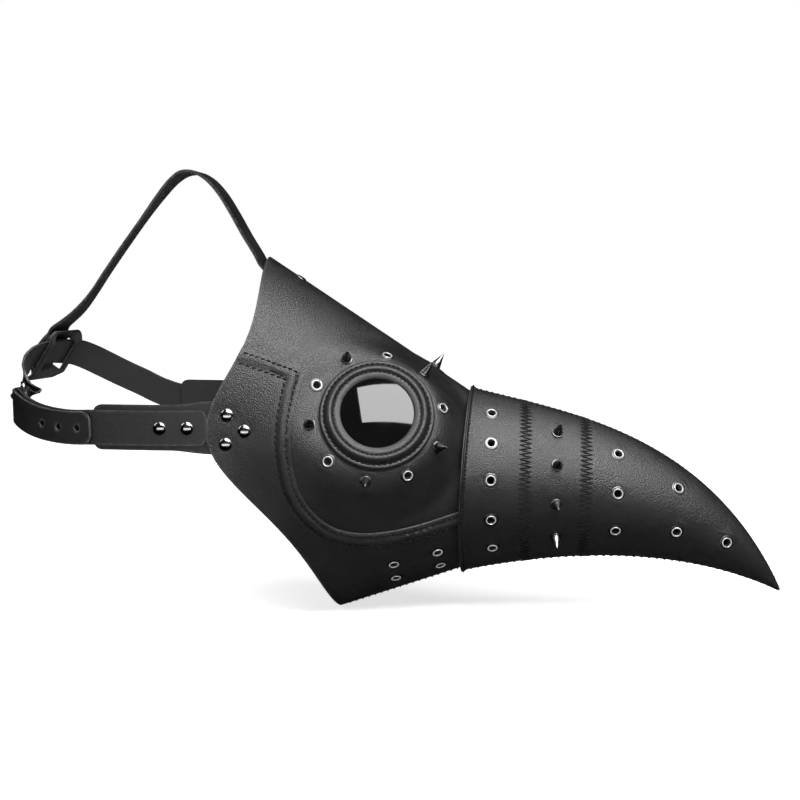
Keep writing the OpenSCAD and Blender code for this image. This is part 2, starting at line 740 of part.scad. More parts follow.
eye_panel();
cheek_panel();  // cheek_panel_right
left_side() cheek_panel();  // cheek_panel_left
beak_base();  // beak_base_panel_right
left_side() beak_base();  // beak_base_panel_left
beak_middle();  // beak_middle_panel_right
left_side() beak_middle();  // beak_middle_panel_left
beak_tip_part();  // beak_tip_panel_right
left_side() beak_tip_part();  // beak_tip_panel_left
goggle_ring();  // goggle_ring_right
left_side() goggle_ring();  // goggle_ring_left
lens();  // lens_right
left_side() lens();  // lens_left
lens_retainer();  // lens_retainer_right
left_side() lens_retainer();  // lens_retainer_left
eye_eyelets();  // eye_eyelets_right
left_side() eye_eyelets();  // eye_eyelets_left
beak_eyelets();  // beak_eyelets_right
left_side() beak_eyelets();  // beak_eyelets_left
chin_eyelets();  // chin_eyelets_right
left_side() chin_eyelets();  // chin_eyelets_left
eyelet_washers();  // eyelet_washers_right
left_side() eyelet_washers();  // eyelet_washers_left
eye_spikes();  // eye_spikes_right
left_side() eye_spikes();  // eye_spikes_left
beak_spikes();  // beak_spikes_right
left_side() beak_spikes();  // beak_spikes_left
spike_screws();  // spike_screws_right
left_side() spike_screws();  // spike_screws_left
cheek_rivets();  // cheek_rivets_right
left_side() cheek_rivets();  // cheek_rivets_left
strap_rivets();  // strap_rivets_right
left_side() strap_rivets();  // strap_rivets_left
forehead_rivet();
strap_tab();  // strap_tab_right
left_side() strap_tab();  // strap_tab_left
buckle_strap();
billet_strap();
buckle_frame();
buckle_prong();
top_strap();
strap_keeper();
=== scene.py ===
"""Looks of the plague doctor mask: sewn leather, padded goggles, studs, straps and buckle.

Sizes are millimetres in the CAD part's own frame; mesh data is turned into metres when it is made.
A leather piece is a flat pattern (points in pattern millimetres, cut to its outline and holes) that a
place function lays in space; thicken() then gives it both faces and rounded edges.
"""

import math

import bmesh
import bpy
import numpy as np
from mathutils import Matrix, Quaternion, Vector


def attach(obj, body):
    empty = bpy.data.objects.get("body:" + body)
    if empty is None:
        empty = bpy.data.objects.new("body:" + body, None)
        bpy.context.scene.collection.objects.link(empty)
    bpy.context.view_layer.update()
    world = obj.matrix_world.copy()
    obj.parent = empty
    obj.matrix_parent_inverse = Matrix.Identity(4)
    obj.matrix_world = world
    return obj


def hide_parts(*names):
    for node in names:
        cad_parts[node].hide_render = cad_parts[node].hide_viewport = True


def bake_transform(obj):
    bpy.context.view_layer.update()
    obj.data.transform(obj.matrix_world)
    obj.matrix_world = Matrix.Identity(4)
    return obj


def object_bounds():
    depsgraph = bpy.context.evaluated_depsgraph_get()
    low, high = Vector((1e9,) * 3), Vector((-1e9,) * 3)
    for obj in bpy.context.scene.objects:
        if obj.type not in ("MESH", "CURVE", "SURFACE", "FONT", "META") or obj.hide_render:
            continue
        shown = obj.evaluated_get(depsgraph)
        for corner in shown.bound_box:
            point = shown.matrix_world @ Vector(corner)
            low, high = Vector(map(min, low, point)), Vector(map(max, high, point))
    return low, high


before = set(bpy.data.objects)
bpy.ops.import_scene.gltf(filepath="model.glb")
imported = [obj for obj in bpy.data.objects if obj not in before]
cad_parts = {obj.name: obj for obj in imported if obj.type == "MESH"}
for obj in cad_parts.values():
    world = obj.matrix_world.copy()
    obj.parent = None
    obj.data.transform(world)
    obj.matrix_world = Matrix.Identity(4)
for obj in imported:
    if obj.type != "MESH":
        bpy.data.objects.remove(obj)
cad_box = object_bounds()
MM = 0.001

# ---- the part's driving sizes, as in the CAD source ----
LEATHER = 2.0
GAP = 0.3
FOREHEAD, CHIN = (-84.0, 91.5), (-38.0, -134.0)
FACE_HALF_W, CHEEK_REACH, CHEEK_MID_Z, CHEEK_SPREAD = 76.0, 42.0, -17.0, 50.0
FACE_FULLNESS, FACE_CROWN = 9.0, 0.45
FRONT_TOP, FRONT_LOW, FRONT_HALF_W = (56.0, -0.3), (50.0, -102.0), 39.8
EYE_TURN, EYE_TILT, EYE_Y, FLAT_R, FLAT_FADE = 11.0, 27.0, -55.16, 31.0, 29.0
FLAT_REACH, RIDGE_KEEP, RIDGE_FADE = 40, 8, 30
GOGGLE_R, OPENING_R = 34.5, 22.0
CHEEK_EDGE = [(-51, 24), (-53.5, 8), (-55.5, -10), (-55.2, -24), (-52.8, -40), (-48.9, -51.7), (-42.3, -62),
              (-31.3, -71), (-17, -74.5), (-1.5, -74), (18, -70.5), (42.3, -63.4)]
BEAK_LEN, BEAK_H, BEAK_HALF_W, BEAK_X, BEAK_DROP = 195.0, 119.0, 48.4, 46.0, 9.0
BEAK_CROWN, BEAK_LEAN = 0.35, 0.033
BEAK_TIP = (BEAK_X + BEAK_LEN, BEAK_DROP - 126)
BEAK_TOP = [(BEAK_X, BEAK_DROP), (BEAK_X + 0.3 * BEAK_LEN, BEAK_DROP - 15),
            (BEAK_X + 0.764 * BEAK_LEN, BEAK_DROP - 24), BEAK_TIP]
BEAK_LOW = [(BEAK_X - 5, BEAK_DROP - BEAK_H), (BEAK_X + 0.25 * BEAK_LEN, BEAK_DROP - BEAK_H + 13),
            (BEAK_X + 0.66 * BEAK_LEN, BEAK_DROP - 95), BEAK_TIP]
SEAMS = [0, 0.209, 0.386, 0.992]
HOLLOW_T = 0.93
EYELET_BORE, EYELET_D = 5.0, 9.0
STUD_R = GOGGLE_R + 6
CHIN_SPOTS = [(0.49, 137), (0.46, 150), (0.765, 133.5), (0.76, 148.5)]
CHEEK_RIVETS = [(0.063, 79), (0.137, 82.5), (0.066, 88)]
BEAK_EYELETS = {0.102: (35, 58, 81.5, 107.5, 132), 0.476: (44, 80, 115), 0.649: (52, 102), 0.8: (85,)}
BEAK_SPIKES = {0.302: (41, 67, 95.5, 124.5)}
STRAP_W, STRAP_T = 20.0, 2.0
LAYER, RIDE = STRAP_T + 0.45, STRAP_T + 0.7
WIRE_R = 1.4
LENS_SEAT, LENS_T, LENS_R, LENS_DOME = 0.6, 1.5, 25.0, 100.0
FAR = 1e9                           # a distance past anything on the part


# ---- small helpers ----
def lerp(a, b, t):
    return a + (b - a) * t


def ease(x):
    x = np.clip(x, 0, 1)
    return x * x * (3 - 2 * x)


def unit(v):
    v = np.asarray(v, float)
    return v / np.linalg.norm(v, axis=-1, keepdims=True)


def sind(a):
    return np.sin(np.radians(a))


def cosd(a):
    return np.cos(np.radians(a))


def half_section(phi, k):
    return (1 - k) * sind(phi) + k * sind(phi) ** 2


def bump_at(d, width):
    """1 at distance 0, fading over width."""
    return np.exp(-((d / width) ** 2))


def bezier(p, t):
    t = np.asarray(t, float)[:, None]
    p = np.asarray(p, float)
    return (1 - t) ** 3 * p[0] + 3 * (1 - t) ** 2 * t * p[1] + 3 * (1 - t) * t * t * p[2] + t**3 * p[3]


def smooth_line(points, step):
    """A smooth line through the points (centripetal-like Catmull-Rom), sampled about every step."""
    p = np.asarray(points, float)
    p = np.vstack([2 * p[0] - p[1], p, 2 * p[-1] - p[-2]])
    out = []
    for i in range(1, len(p) - 2):
        n = max(1, int(np.linalg.norm(p[i + 1][:3] - p[i][:3]) / step))
        for t in np.arange(n) / n:
            a, b, c, d = p[i - 1 : i + 3]
            la, lb, lc = (max(np.linalg.norm(y - x), 1e-6) for x, y in ((a, b), (b, c), (c, d)))
            m0 = ((b - a) / la + (c - b) / lb) / 2 * lb
            m1 = ((c - b) / lb + (d - c) / lc) / 2 * lb
            t2, t3 = t * t, t**3
            ends = (2 * t3 - 3 * t2 + 1) * b + (t3 - 2 * t2 + t) * m0
            out.append(ends + (3 * t2 - 2 * t3) * c + (t3 - t2) * m1)
    return np.array(out + [p[-2]])


def arc_length(points):
    """Distance along the line at each of its points."""
    return np.concatenate([[0], np.cumsum(np.linalg.norm(np.diff(points, axis=0), axis=1))])


def resample(at, s, rows):
    """The rows of an (n, 3) array, interpolated at the places at along s."""
    return np.stack([np.interp(at, s, rows[:, k]) for k in range(3)], 1)


def line_distance(q, line):
    """Distance from each 2-D point q to a polyline, negative on the left of its direction."""
    best, side = np.full(len(q), FAR), np.ones(len(q))
    for a, b in zip(line[:-1], line[1:]):
        ab = b - a
        t = np.clip(((q - a) @ ab) / (ab @ ab), 0, 1)
        r = q - (a + t[:, None] * ab)
        d = np.hypot(r[:, 0], r[:, 1])
        near = d < best
        side[near] = np.where(ab[0] * r[near, 1] - ab[1] * r[near, 0] > 0, -1, 1)
        best = np.minimum(best, d)
    return best * side


# ---- the face and beak surfaces ----
EYE_N = np.array([sind(EYE_TURN) * cosd(EYE_TILT), -cosd(EYE_TURN) * cosd(EYE_TILT), sind(EYE_TILT)])
EYE_U = np.array([cosd(EYE_TURN), sind(EYE_TURN), 0])
EYE_V = -np.cross(EYE_U, EYE_N)
EYE_C = np.array([-6.0, EYE_Y, -3.0])


def face_mid(t, phi):
    """The face's outer surface: t from the rear edge to inside the beak, phi from ridge to chin seam."""
    side = np.where(phi < 0, -1.0, 1.0)
    phi = np.abs(phi)
    c = (1 - cosd(phi)) / 2
    z = lerp(FOREHEAD[1], CHIN[1], c)
    rear = np.stack([
        lerp(FOREHEAD[0], CHIN[0], c) - CHEEK_REACH * bump_at(z - CHEEK_MID_Z, CHEEK_SPREAD),
        -FACE_HALF_W * half_section(phi, FACE_CROWN), z], 1)
    front = np.stack([
        lerp(FRONT_TOP[0], FRONT_LOW[0], c), -FRONT_HALF_W * half_section(phi, FACE_CROWN),
        lerp(FRONT_TOP[1], FRONT_LOW[1], c)], 1)
    p = lerp(rear, front, t[:, None])
    p[:, 1] -= FACE_FULLNESS * (np.sin(np.pi * t) * sind(phi)) ** 2
    h = (p - EYE_C) @ EYE_N
    r = np.linalg.norm(p - EYE_C - h[:, None] * EYE_N, axis=1)
    flat = (1 - ease((r - FLAT_R) / FLAT_FADE)) * ease((phi - RIDGE_KEEP) / RIDGE_FADE)
    w = np.where(np.abs(h) > FLAT_REACH, 0, flat)
    p -= (w * h)[:, None] * EYE_N
    p[:, 1] *= side
    return p


def beak_mid(t, phi):
    """The beak's outer surface: t from the rear edge to the tip, phi from the top seam to the bottom one."""
    a, b = bezier(BEAK_TOP, t), bezier(BEAK_LOW, t)
    p = lerp(a, b, ((1 - cosd(phi)) / 2)[:, None])
    slim = BEAK_HALF_W / math.dist(BEAK_TOP[0], BEAK_LOW[0])
    y = -slim * np.linalg.norm(a - b, axis=1) * half_section(phi, BEAK_CROWN)
    return np.stack([p[:, 0], y, p[:, 1]], 1)


def normals(surface, t, phi):
    dt, dp = 0.003, 0.4
    across = surface(t, phi + dp) - surface(t, phi - dp)
    along = surface(t + dt, phi) - surface(t - dt, phi)
    return unit(np.cross(across, along))


def face_at(t, phi, off):
    t, phi = np.asarray(t, float), np.asarray(phi, float)
    p = face_mid(t, phi) + np.asarray(off)[..., None] * normals(face_mid, t, phi)
    p[np.abs(phi) >= 179.99, 1] = 0
    return p


def beak_at(t, phi, off):
    t, phi = np.asarray(t, float), np.asarray(phi, float)
    p = beak_mid(t, phi) + np.asarray(off)[..., None] * normals(beak_mid, np.minimum(t, 0.985), phi)
    p[(phi <= 0.01) | (phi >= 179.99), 1] = 0
    return p


def column(t, phi):
    return t + BEAK_LEAN * (phi - 90) / 90


def eye_spot(r, angle):
    """The (t, phi) place on the face at polar place (r, angle) round the goggle's axis."""
    goal = EYE_C + r * (cosd(angle) * EYE_U + sind(angle) * EYE_V)
    q = np.array([0.58, 64.0])
    for _ in range(10):
        p, pt, pp = face_mid(np.array([q[0], q[0] + 0.002, q[0]]), np.array([q[1], q[1], q[1] + 0.2]))
        jac = np.stack([(pt - p) / 0.002, (pp - p) / 0.2], 1)
        frame2 = np.stack([EYE_U, EYE_V])
        q = q + np.linalg.solve(frame2 @ jac, frame2 @ (goal - p))
    return q


EYE_EYELETS = [eye_spot(STUD_R, a) for a in range(8, 297, 72)]
EYE_SPIKES = [eye_spot(STUD_R, a) for a in range(44, 333, 72)]
BEAK_EYELET_SPOTS = [(column(t, p), p) for t, ps in BEAK_EYELETS.items() for p in ps]
BEAK_SPIKE_SPOTS = [(column(t, p), p) for t, ps in BEAK_SPIKES.items() for p in ps]


def spot_frames(place, spots, off):
    """A (point, outward normal) pair for each (t, phi) spot of a surface."""
    t, phi = np.array(spots, float).T
    surface = face_mid if place is face_at else beak_mid
    return list(zip(place(t, phi, np.full(len(t), off)), normals(surface, t, phi)))


# ---- flat patterns: cut, then laid in space and thickened ----
class Pattern:
    """A flat mesh of polygons in pattern millimetres."""

    def __init__(self, us, vs):
        nu, nv = len(us), len(vs)
        self.p = np.array([(u, v) for u in us for v in vs], float)
        self.faces = [(i * nv + j, (i + 1) * nv + j, (i + 1) * nv + j + 1, i * nv + j + 1)
                      for i in range(nu - 1) for j in range(nv - 1)]

    def cut(self, keep, snap=0.35):
        """Keeps the part where keep(points) is positive; keep is a distance in millimetres."""
        def slope(q):
            e = 0.05
            return np.stack([(keep(q + [e, 0]) - keep(q - [e, 0])) / 2 / e,
                             (keep(q + [0, e]) - keep(q - [0, e])) / 2 / e], 1)

        d = keep(self.p)
        near = np.flatnonzero(np.abs(d) < snap)
        if len(near):
            g = slope(self.p[near])
            self.p[near] -= (d[near] / np.maximum((g * g).sum(1), 0.05))[:, None] * g
            d[near] = 0
        new, made, faces = [], {}, []

        def crossing(a, b):
            key = (min(a, b), max(a, b))
            if key not in made:
                made[key] = len(self.p) + len(new)
                new.append(lerp(self.p[a], self.p[b], d[a] / (d[a] - d[b])))
            return made[key]

        for f in self.faces:
            df = d[list(f)]
            if (df <= 0).all():
                continue
            if (df >= 0).all():
                faces.append(f)
                continue
            g = []
            for a, b in zip(f, f[1:] + f[:1]):
                if d[a] >= 0:
                    g.append(a)
                if d[a] * d[b] < 0:
                    g.append(crossing(a, b))
            if len(g) > 2:
                faces.append(tuple(g))
        if new:
            new = np.array(new)
            g = slope(new)
            new -= (keep(new) / np.maximum((g * g).sum(1), 0.05))[:, None] * g
            self.p = np.vstack([self.p, new])
        used = sorted({i for f in faces for i in f})
        index = {old: n for n, old in enumerate(used)}
        self.p, self.faces = self.p[used], [tuple(index[i] for i in f) for f in faces]


def thicken(pattern, place, thickness, bevel, raise_by):
    """The pattern laid out by place(points, off), outer face at off 0 or at raise_by, with rounded edges.

    Returns vertices, faces and each vertex's wear, which is 1 on the edges.
    """
    q, faces = pattern.p, pattern.faces
    lift = np.zeros(len(q)) if raise_by is None else raise_by(q)
    edges = dict.fromkeys((a, b) for f in faces for a, b in zip(f, f[1:] + f[:1]))
    rim = [(a, b) for a, b in edges if (b, a) not in edges]
    onto = sorted({i for e in rim for i in e})
    n = len(q)
    outer, inner = place(q, lift), place(q, np.full(n, -thickness))
    # the edge's inward direction in the surface, from the rim's own line
    inward = np.zeros((n, 3))
    up = unit(outer - inner + 1e-9)
    for a, b in rim:
        side = np.cross(up[a], outer[b] - outer[a])
        inward[a] += side
        inward[b] += side
    length = np.linalg.norm(inward, axis=1, keepdims=True)
    inward = np.divide(inward, length, out=np.zeros_like(inward), where=length > 1e-9)
    thick = np.linalg.norm(outer - inner, axis=1, keepdims=True)
    b = np.minimum(bevel, 0.45 * thick)
    rings = [outer + inward * b, outer + (inward * b * 0.3 - up * b * 0.3), outer - up * b, inner + up * b,
             inner + inward * b]
    ids = {v: k for k, v in enumerate(onto)}
    m = len(onto)
    verts = np.vstack([rings[0], rings[4], rings[1][onto], rings[2][onto], rings[3][onto]])
    wear = np.zeros(len(verts))
    wear[onto] = 0.5
    wear[2 * n : 2 * n + 2 * m] = 1
    out = faces + [tuple(n + i for i in reversed(f)) for f in faces]
    for a, b2 in rim:
        ia, ib = ids[a], ids[b2]
        chain = [(a, b2)] + [(2 * n + k * m + ia, 2 * n + k * m + ib) for k in range(3)] + [(n + a, n + b2)]
        out += [(y0, x0, x1, y1) for (x0, y0), (x1, y1) in zip(chain, chain[1:])]
    return verts, out, wear


def mirrored(verts, faces):
    return verts * [1, -1, 1], [tuple(reversed(f)) for f in faces]


def make(name, verts, faces, material, body="root", replaces=(), slot=None, wear=None, sharp=38, flip=False):
    """Makes a mesh piece from millimetres and lets it ride on a body; body None leaves it free."""
    mesh = bpy.data.meshes.new(name)
    mesh.from_pydata((np.asarray(verts) * MM).tolist(), [], [tuple(int(i) for i in f) for f in faces])
    if flip:
        mesh.flip_normals()
    mesh.polygons.foreach_set("use_smooth", [True] * len(mesh.polygons))
    mesh.set_sharp_from_angle(angle=math.radians(sharp))
    if wear is not None:
        layer = mesh.attributes.new("wear", "FLOAT", "POINT")
        layer.data.foreach_set("value", np.asarray(wear, np.float32))
    mesh.materials.append(material)
    mesh.update()
    piece = bpy.data.objects.new(name, mesh)
    bpy.context.scene.collection.objects.link(piece)
    if body:
        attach(piece, body)
    if replaces:
        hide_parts(*replaces)
    return piece


# ---- materials ----
class Nodes:
    """A short way to write a node material."""

    def __init__(self, name, **values):
        self.mat = bpy.data.materials.new(name)
        self.mat.use_nodes = True
        self.tree = self.mat.node_tree
        self.shader = self.tree.nodes["Principled BSDF"]
        for key, value in values.items():
            self.shader.inputs[key.replace("_", " ")].default_value = value
        self.where = self.add("ShaderNodeTexCoord").outputs["Object"]

    def add(self, kind, links=None, **settings):
        node = self.tree.nodes.new(kind)
        for key, value in settings.items():
            if hasattr(node, key):
                setattr(node, key, value)
            else:
                node.inputs[key.replace("_", " ")].default_value = value
        for socket, source in (links or {}).items():
            self.tree.links.new(source, node.inputs[socket])
        return node

    def noise(self, size_mm, detail=3.0, rough=0.5):
        return self.add("ShaderNodeTexNoise", {"Vector": self.where}, Scale=1 / (size_mm * MM), Detail=detail,
                        Roughness=rough).outputs["Fac"]

    def cells(self, size_mm):
        node = self.add("ShaderNodeTexVoronoi", {"Vector": self.where}, Scale=1 / (size_mm * MM))
        return node.outputs["Distance"]

    def waves(self, direction, scale, distortion):
        return self.add("ShaderNodeTexWave", {"Vector": self.where}, bands_direction=direction, Scale=scale,
                        Distortion=distortion).outputs["Fac"]

    def span(self, source, low, high, from_low=0.0, from_high=1.0):
        node = self.add("ShaderNodeMapRange", {"Value": source})
        limits = {"From Min": from_low, "From Max": from_high, "To Min": low, "To Max": high}
        for key, value in limits.items():
            node.inputs[key].default_value = value
        return node.outputs["Result"]

    def blend(self, fac, low, high):
        node = self.add("ShaderNodeMix", {"Factor": fac}, data_type="RGBA")
        node.inputs["A"].default_value = (*low, 1)
        node.inputs["B"].default_value = (*high, 1)
        return node.outputs["Result"]

    def math(self, kind, a, b):
        node = self.add("ShaderNodeMath", operation=kind)
        for k, value in enumerate((a, b)):
            if isinstance(value, (int, float)):
                node.inputs[k].default_value = value
            else:
                self.tree.links.new(value, node.inputs[k])
        return node.outputs["Value"]

    def bump(self, height, depth_mm, strength=1.0):
        node = self.add("ShaderNodeBump", {"Height": height}, Distance=depth_mm * MM, Strength=strength)
        return node.outputs["Normal"]

    def use(self, **sources):
        for key, source in sources.items():
            self.tree.links.new(source, self.shader.inputs[key.replace("_", " ")])
        return self.mat


def leather(name, dark, light, rough, grain_mm, depth):
    """Black coated leather: pebble grain, broad soft gloss, faint cloudy wear, paler cut edges."""
    n = Nodes(name, Specular_IOR_Level=0.5)
    pebbles, fine = n.cells(grain_mm), n.noise(grain_mm * 0.45, 2)
    clouds = n.noise(22, 4, 0.6)
    height = n.math("ADD", n.math("MULTIPLY", pebbles, -0.75), n.math("MULTIPLY", fine, 0.45))
    edge = n.add("ShaderNodeAttribute", attribute_name="wear").outputs["Fac"]
    worn = n.math("MULTIPLY", edge, n.span(n.noise(3, 3), 0.25, 1.0, 0.35, 0.65))
    base = n.blend(clouds, dark, light)
    node = n.add("ShaderNodeMix", {"Factor": worn}, data_type="RGBA")
    n.tree.links.new(base, node.inputs["A"])
    node.inputs["B"].default_value = (0.055, 0.055, 0.058, 1)
    gloss = n.span(clouds, rough - 0.05, rough + 0.06, 0.3, 0.7)
    gloss = n.math("ADD", gloss, n.math("MULTIPLY", worn, 0.12))
    gloss = n.math("ADD", gloss, n.span(fine, -0.04, 0.04, 0.3, 0.7))
    return n.use(Base_Color=node.outputs["Result"], Roughness=gloss, Normal=n.bump(height, depth))


def backing():
    """Woven backing cloth on the flesh side of the coated leather."""
    n = Nodes("backing_cloth", Roughness=0.9)
    weave = n.math("MULTIPLY", n.waves("X", 300.0, 1.5), n.waves("Z", 300.0, 1.5))
    return n.use(Base_Color=n.blend(n.noise(9, 3), (0.010, 0.010, 0.011), (0.016, 0.016, 0.017)),
                 Normal=n.bump(weave, 0.003, 0.5))


def thread_material():
    n = Nodes("thread", Roughness=0.75, Specular_IOR_Level=0.25)
    twist = n.waves("DIAGONAL", 420.0, 2.0)
    return n.use(Base_Color=n.blend(twist, (0.002, 0.002, 0.002), (0.006, 0.006, 0.006)),
                 Normal=n.bump(twist, 0.1, 0.8))


def metal(name, low, high, rough, metallic=1.0):
    """Plated metal: faint tarnish and fine handling marks."""
    n = Nodes(name, Metallic=metallic)
    tarnish, marks = n.noise(2.5, 4, 0.6), n.noise(1.2, 5, 0.7)
    return n.use(Base_Color=n.blend(tarnish, low, high),
                 Roughness=n.span(tarnish, rough, rough + 0.14, 0.3, 0.75),
                 Normal=n.bump(marks, 0.02, 0.5))


def tinted_lens():
    n = Nodes("tinted_lens", IOR=1.52, Specular_IOR_Level=0.36)
    smudge = n.noise(14, 3)
    return n.use(Base_Color=n.blend(smudge, (0.002, 0.002, 0.0022), (0.003, 0.003, 0.0034)),
                 Roughness=n.span(smudge, 0.03, 0.07, 0.35, 0.7))


MASK = leather("mask_leather", (0.0045, 0.0045, 0.0048), (0.0085, 0.0085, 0.009), 0.35, 0.75, 0.30)
RING = leather("goggle_leather", (0.0035, 0.0035, 0.0037), (0.007, 0.007, 0.0073), 0.40, 0.65, 0.2)
STRAP = leather("strap_leather", (0.0045, 0.0045, 0.0048), (0.0085, 0.0085, 0.009), 0.42, 0.6, 0.07)
BACKING = backing()
THREAD = thread_material()
# the eyelet lip's metal is made lighter and only part metallic so lamps light it evenly: a painted reflection
# ring, where the real lip would mirror the white floor
EYELET_LIP_PAINTED_GLINT = metal("eyelet_nickel", (0.42, 0.42, 0.42), (0.6, 0.6, 0.6), 0.3, metallic=0.6)
DARK_NICKEL = metal("eyelet_dark_nickel", (0.06, 0.06, 0.062), (0.12, 0.12, 0.125), 0.3)
STEEL = metal("washer_steel", (0.32, 0.32, 0.33), (0.5, 0.5, 0.5), 0.34)
GUNMETAL = metal("spike_gunmetal", (0.15, 0.15, 0.155), (0.25, 0.25, 0.255), 0.22)
CHROME = metal("rivet_chrome", (0.34, 0.34, 0.35), (0.52, 0.52, 0.53), 0.1)
BUCKLE = metal("buckle_chrome", (0.48, 0.48, 0.49), (0.7, 0.7, 0.71), 0.16)
LENS = tinted_lens()

# ---- studio: camera at the photo's angle, pale floor, soft lights ----
CAM_TURN, CAM_RISE, CAM_AWAY = 8.2, 6.5, 715.0


def aim(thing, place, target=(0, 0, 0)):
    thing.location = Vector(place) * MM
    thing.rotation_mode = "QUATERNION"
    thing.rotation_quaternion = (Vector(target) * MM - thing.location).to_track_quat("-Z", "Y")


def polar(turn, rise, away):
    """A place round the object: turn 0 is in front of its right side."""
    return (away * sind(turn) * cosd(rise), -away * cosd(turn) * cosd(rise), away * sind(rise))


camera = bpy.data.objects.new("camera", bpy.data.cameras.new("camera"))
bpy.context.scene.collection.objects.link(camera)
bpy.context.scene.camera = camera
camera.data.lens, camera.data.sensor_width = 50, 36
aim(camera, polar(CAM_TURN, CAM_RISE, CAM_AWAY))


def softbox(name, turn, rise, away, width, height, power, target=(0, 0, 0), roll=0):
    light = bpy.data.lights.new(name, "AREA")
    light.shape, light.size, light.size_y, light.energy = "RECTANGLE", width * MM, height * MM, power
    lamp = bpy.data.objects.new(name, light)
    bpy.context.scene.collection.objects.link(lamp)
    aim(lamp, polar(turn, rise, away), target)
    lamp.rotation_quaternion = lamp.rotation_quaternion @ Quaternion((0, 0, 1), math.radians(roll))


def studio():
    softbox("key_softbox", 31, 50, 900, 800, 480, 19, (20, -40, 0), -12)
    softbox("left_softbox", -75, 35, 1300, 600, 700, 3)
    softbox("right_softbox", 85, 30, 1400, 400, 900, 2)
    softbox("low_fill", 5, -5, 1100, 1500, 300, 3.0)
    sky = bpy.data.lights.new("overhead", "SUN")
    sky.energy, sky.angle = 1.2, math.radians(38)
    lamp = bpy.data.objects.new("overhead", sky)
    bpy.context.scene.collection.objects.link(lamp)
    aim(lamp, polar(160, 84, 1000))
    world = bpy.data.worlds.new("studio")
    bpy.context.scene.world = world
    world.use_nodes = True
    world.node_tree.nodes["Background"].inputs["Color"].default_value = (1, 1, 1, 1)
    world.cycles_visibility.diffuse = False
    world.cycles_visibility.glossy = False
    floor = bmesh.new()
    bmesh.ops.create_circle(floor, cap_ends=True, segments=64, radius=9)
    mesh = bpy.data.meshes.new("floor")
    floor.to_mesh(mesh)
    floor.free()
    n = Nodes("floor", Roughness=0.75, Emission_Color=(1, 1, 1, 1), Emission_Strength=0.72)
    mesh.materials.append(n.use(Base_Color=n.blend(n.noise(400, 3), (0.80, 0.80, 0.80), (0.83, 0.83, 0.83))))
    floor = bpy.data.objects.new("floor", mesh)
    floor.location.z = cad_box[0].z - 0.0005
    bpy.context.scene.collection.objects.link(floor)
    floor.visible_glossy = False
    bpy.context.scene.view_settings.view_transform = "Standard"


studio()


# ---- face and beak leather ----
# pattern millimetres per unit of t and per degree of phi, on the face and on the beak
SPAN_T, SPAN_PHI = 165.0, 1.15
BEAK_T, BEAK_PHI = 235.0, 0.75
CELL = 1.4


def face_place(q, off):
    return settle(face_at(q[:, 0] / SPAN_T, q[:, 1] / SPAN_PHI, off), off, FACE_STUDS)


def beak_place(q, off):
    return settle(beak_at(q[:, 0] / BEAK_T, q[:, 1] / BEAK_PHI, off), off, BEAK_STUDS)


def settle(p, off, studs):
    """Pulls the leather flat and slightly down under each stud."""
    reach, depth, fade, dimple = 12, 8, 4, 5.5
    p = p.copy()
    for centre, n, base, dip in studs:
        for side in (1, -1):
            flip = np.array([1, side, 1])
            d = p - centre * flip
            near = np.flatnonzero((np.abs(d) < reach).all(1))
            if not len(near):
                continue
            d, m = d[near], n * flip
            h = d @ m
            r = np.linalg.norm(d - h[:, None] * m, axis=1)
            level = np.broadcast_to(off, len(p))[near] - base
            w = np.where(np.abs(h) < depth, 1 - ease((r - EYELET_D / 2) / fade), 0)
            p[near] -= (w * (h - level) + dip * bump_at(r, dimple))[:, None] * m
    return p


CHEEK_OFF = GAP + LEATHER
FACE_STUDS, BEAK_STUDS = [], []
for spots, place, base, dip in ((EYE_EYELETS + EYE_SPIKES, face_at, 0, 0.25),
                                (CHIN_SPOTS, face_at, CHEEK_OFF, 0.25),
                                (CHEEK_RIVETS, face_at, CHEEK_OFF, 0.6),
                                (BEAK_EYELET_SPOTS + BEAK_SPIKE_SPOTS, beak_at, 0, 0.25)):
    found = [(c, n, base, dip) for c, n in spot_frames(place, spots, base)]
    (BEAK_STUDS if place is beak_at else FACE_STUDS).extend(found)

corner = np.array(CHEEK_EDGE[0], float)
cheek_line = np.vstack([
    [(-200, corner[1] + 0.36 * (corner[0] + 200)), corner + [-3, 1.1]],
    smooth_line([corner + [0.2, -2.2]] + CHEEK_EDGE[1:] + [(90, -50)], 2)[:, :2]])


def beside_seam(q):
    """Distance behind the cheek panel's edge, seen from the side; positive on the cheek panel."""
    p = face_at(q[:, 0] / SPAN_T, q[:, 1] / SPAN_PHI, 0.0)
    return line_distance(p[:, [0, 2]], cheek_line)


def round_hole(place, studs_at, radius, scale):
    """keep() for a round hole about an axis."""
    def keep(q):
        p = place(q[:, 0] / scale[0], q[:, 1] / scale[1], 0.0)
        best = np.full(len(q), FAR)
        for c, n in studs_at:
            for flip in (np.array([1, 1, 1]), np.array([1, -1, 1])):
                d = p - c * flip
                h = d @ (n * flip)
                r = np.linalg.norm(d - h[:, None] * (n * flip), axis=1)
                best = np.where(np.abs(h) < 20, np.minimum(best, r - radius), best)
        return best
    return keep


def grown(rows, first, grade):
    """Pattern lines from first on, closer together at the start."""
    return np.concatenate([[0], np.cumsum(first * grade ** np.arange(rows))])


ROW_OUT, ROW_IN = 1.9, 8.0          # the cheek panel's two rows of stitches, from its edge


def cheek_relief(q):
    s = beside_seam(q)
    band = ease((s - ROW_OUT) / 1.6) - ease((s - ROW_IN + 1.8) / 2.0)
    return CHEEK_OFF + 0.95 * band - 0.35 * bump_at(s - ROW_OUT, 0.8) - 0.45 * bump_at(s - ROW_IN, 1.0)


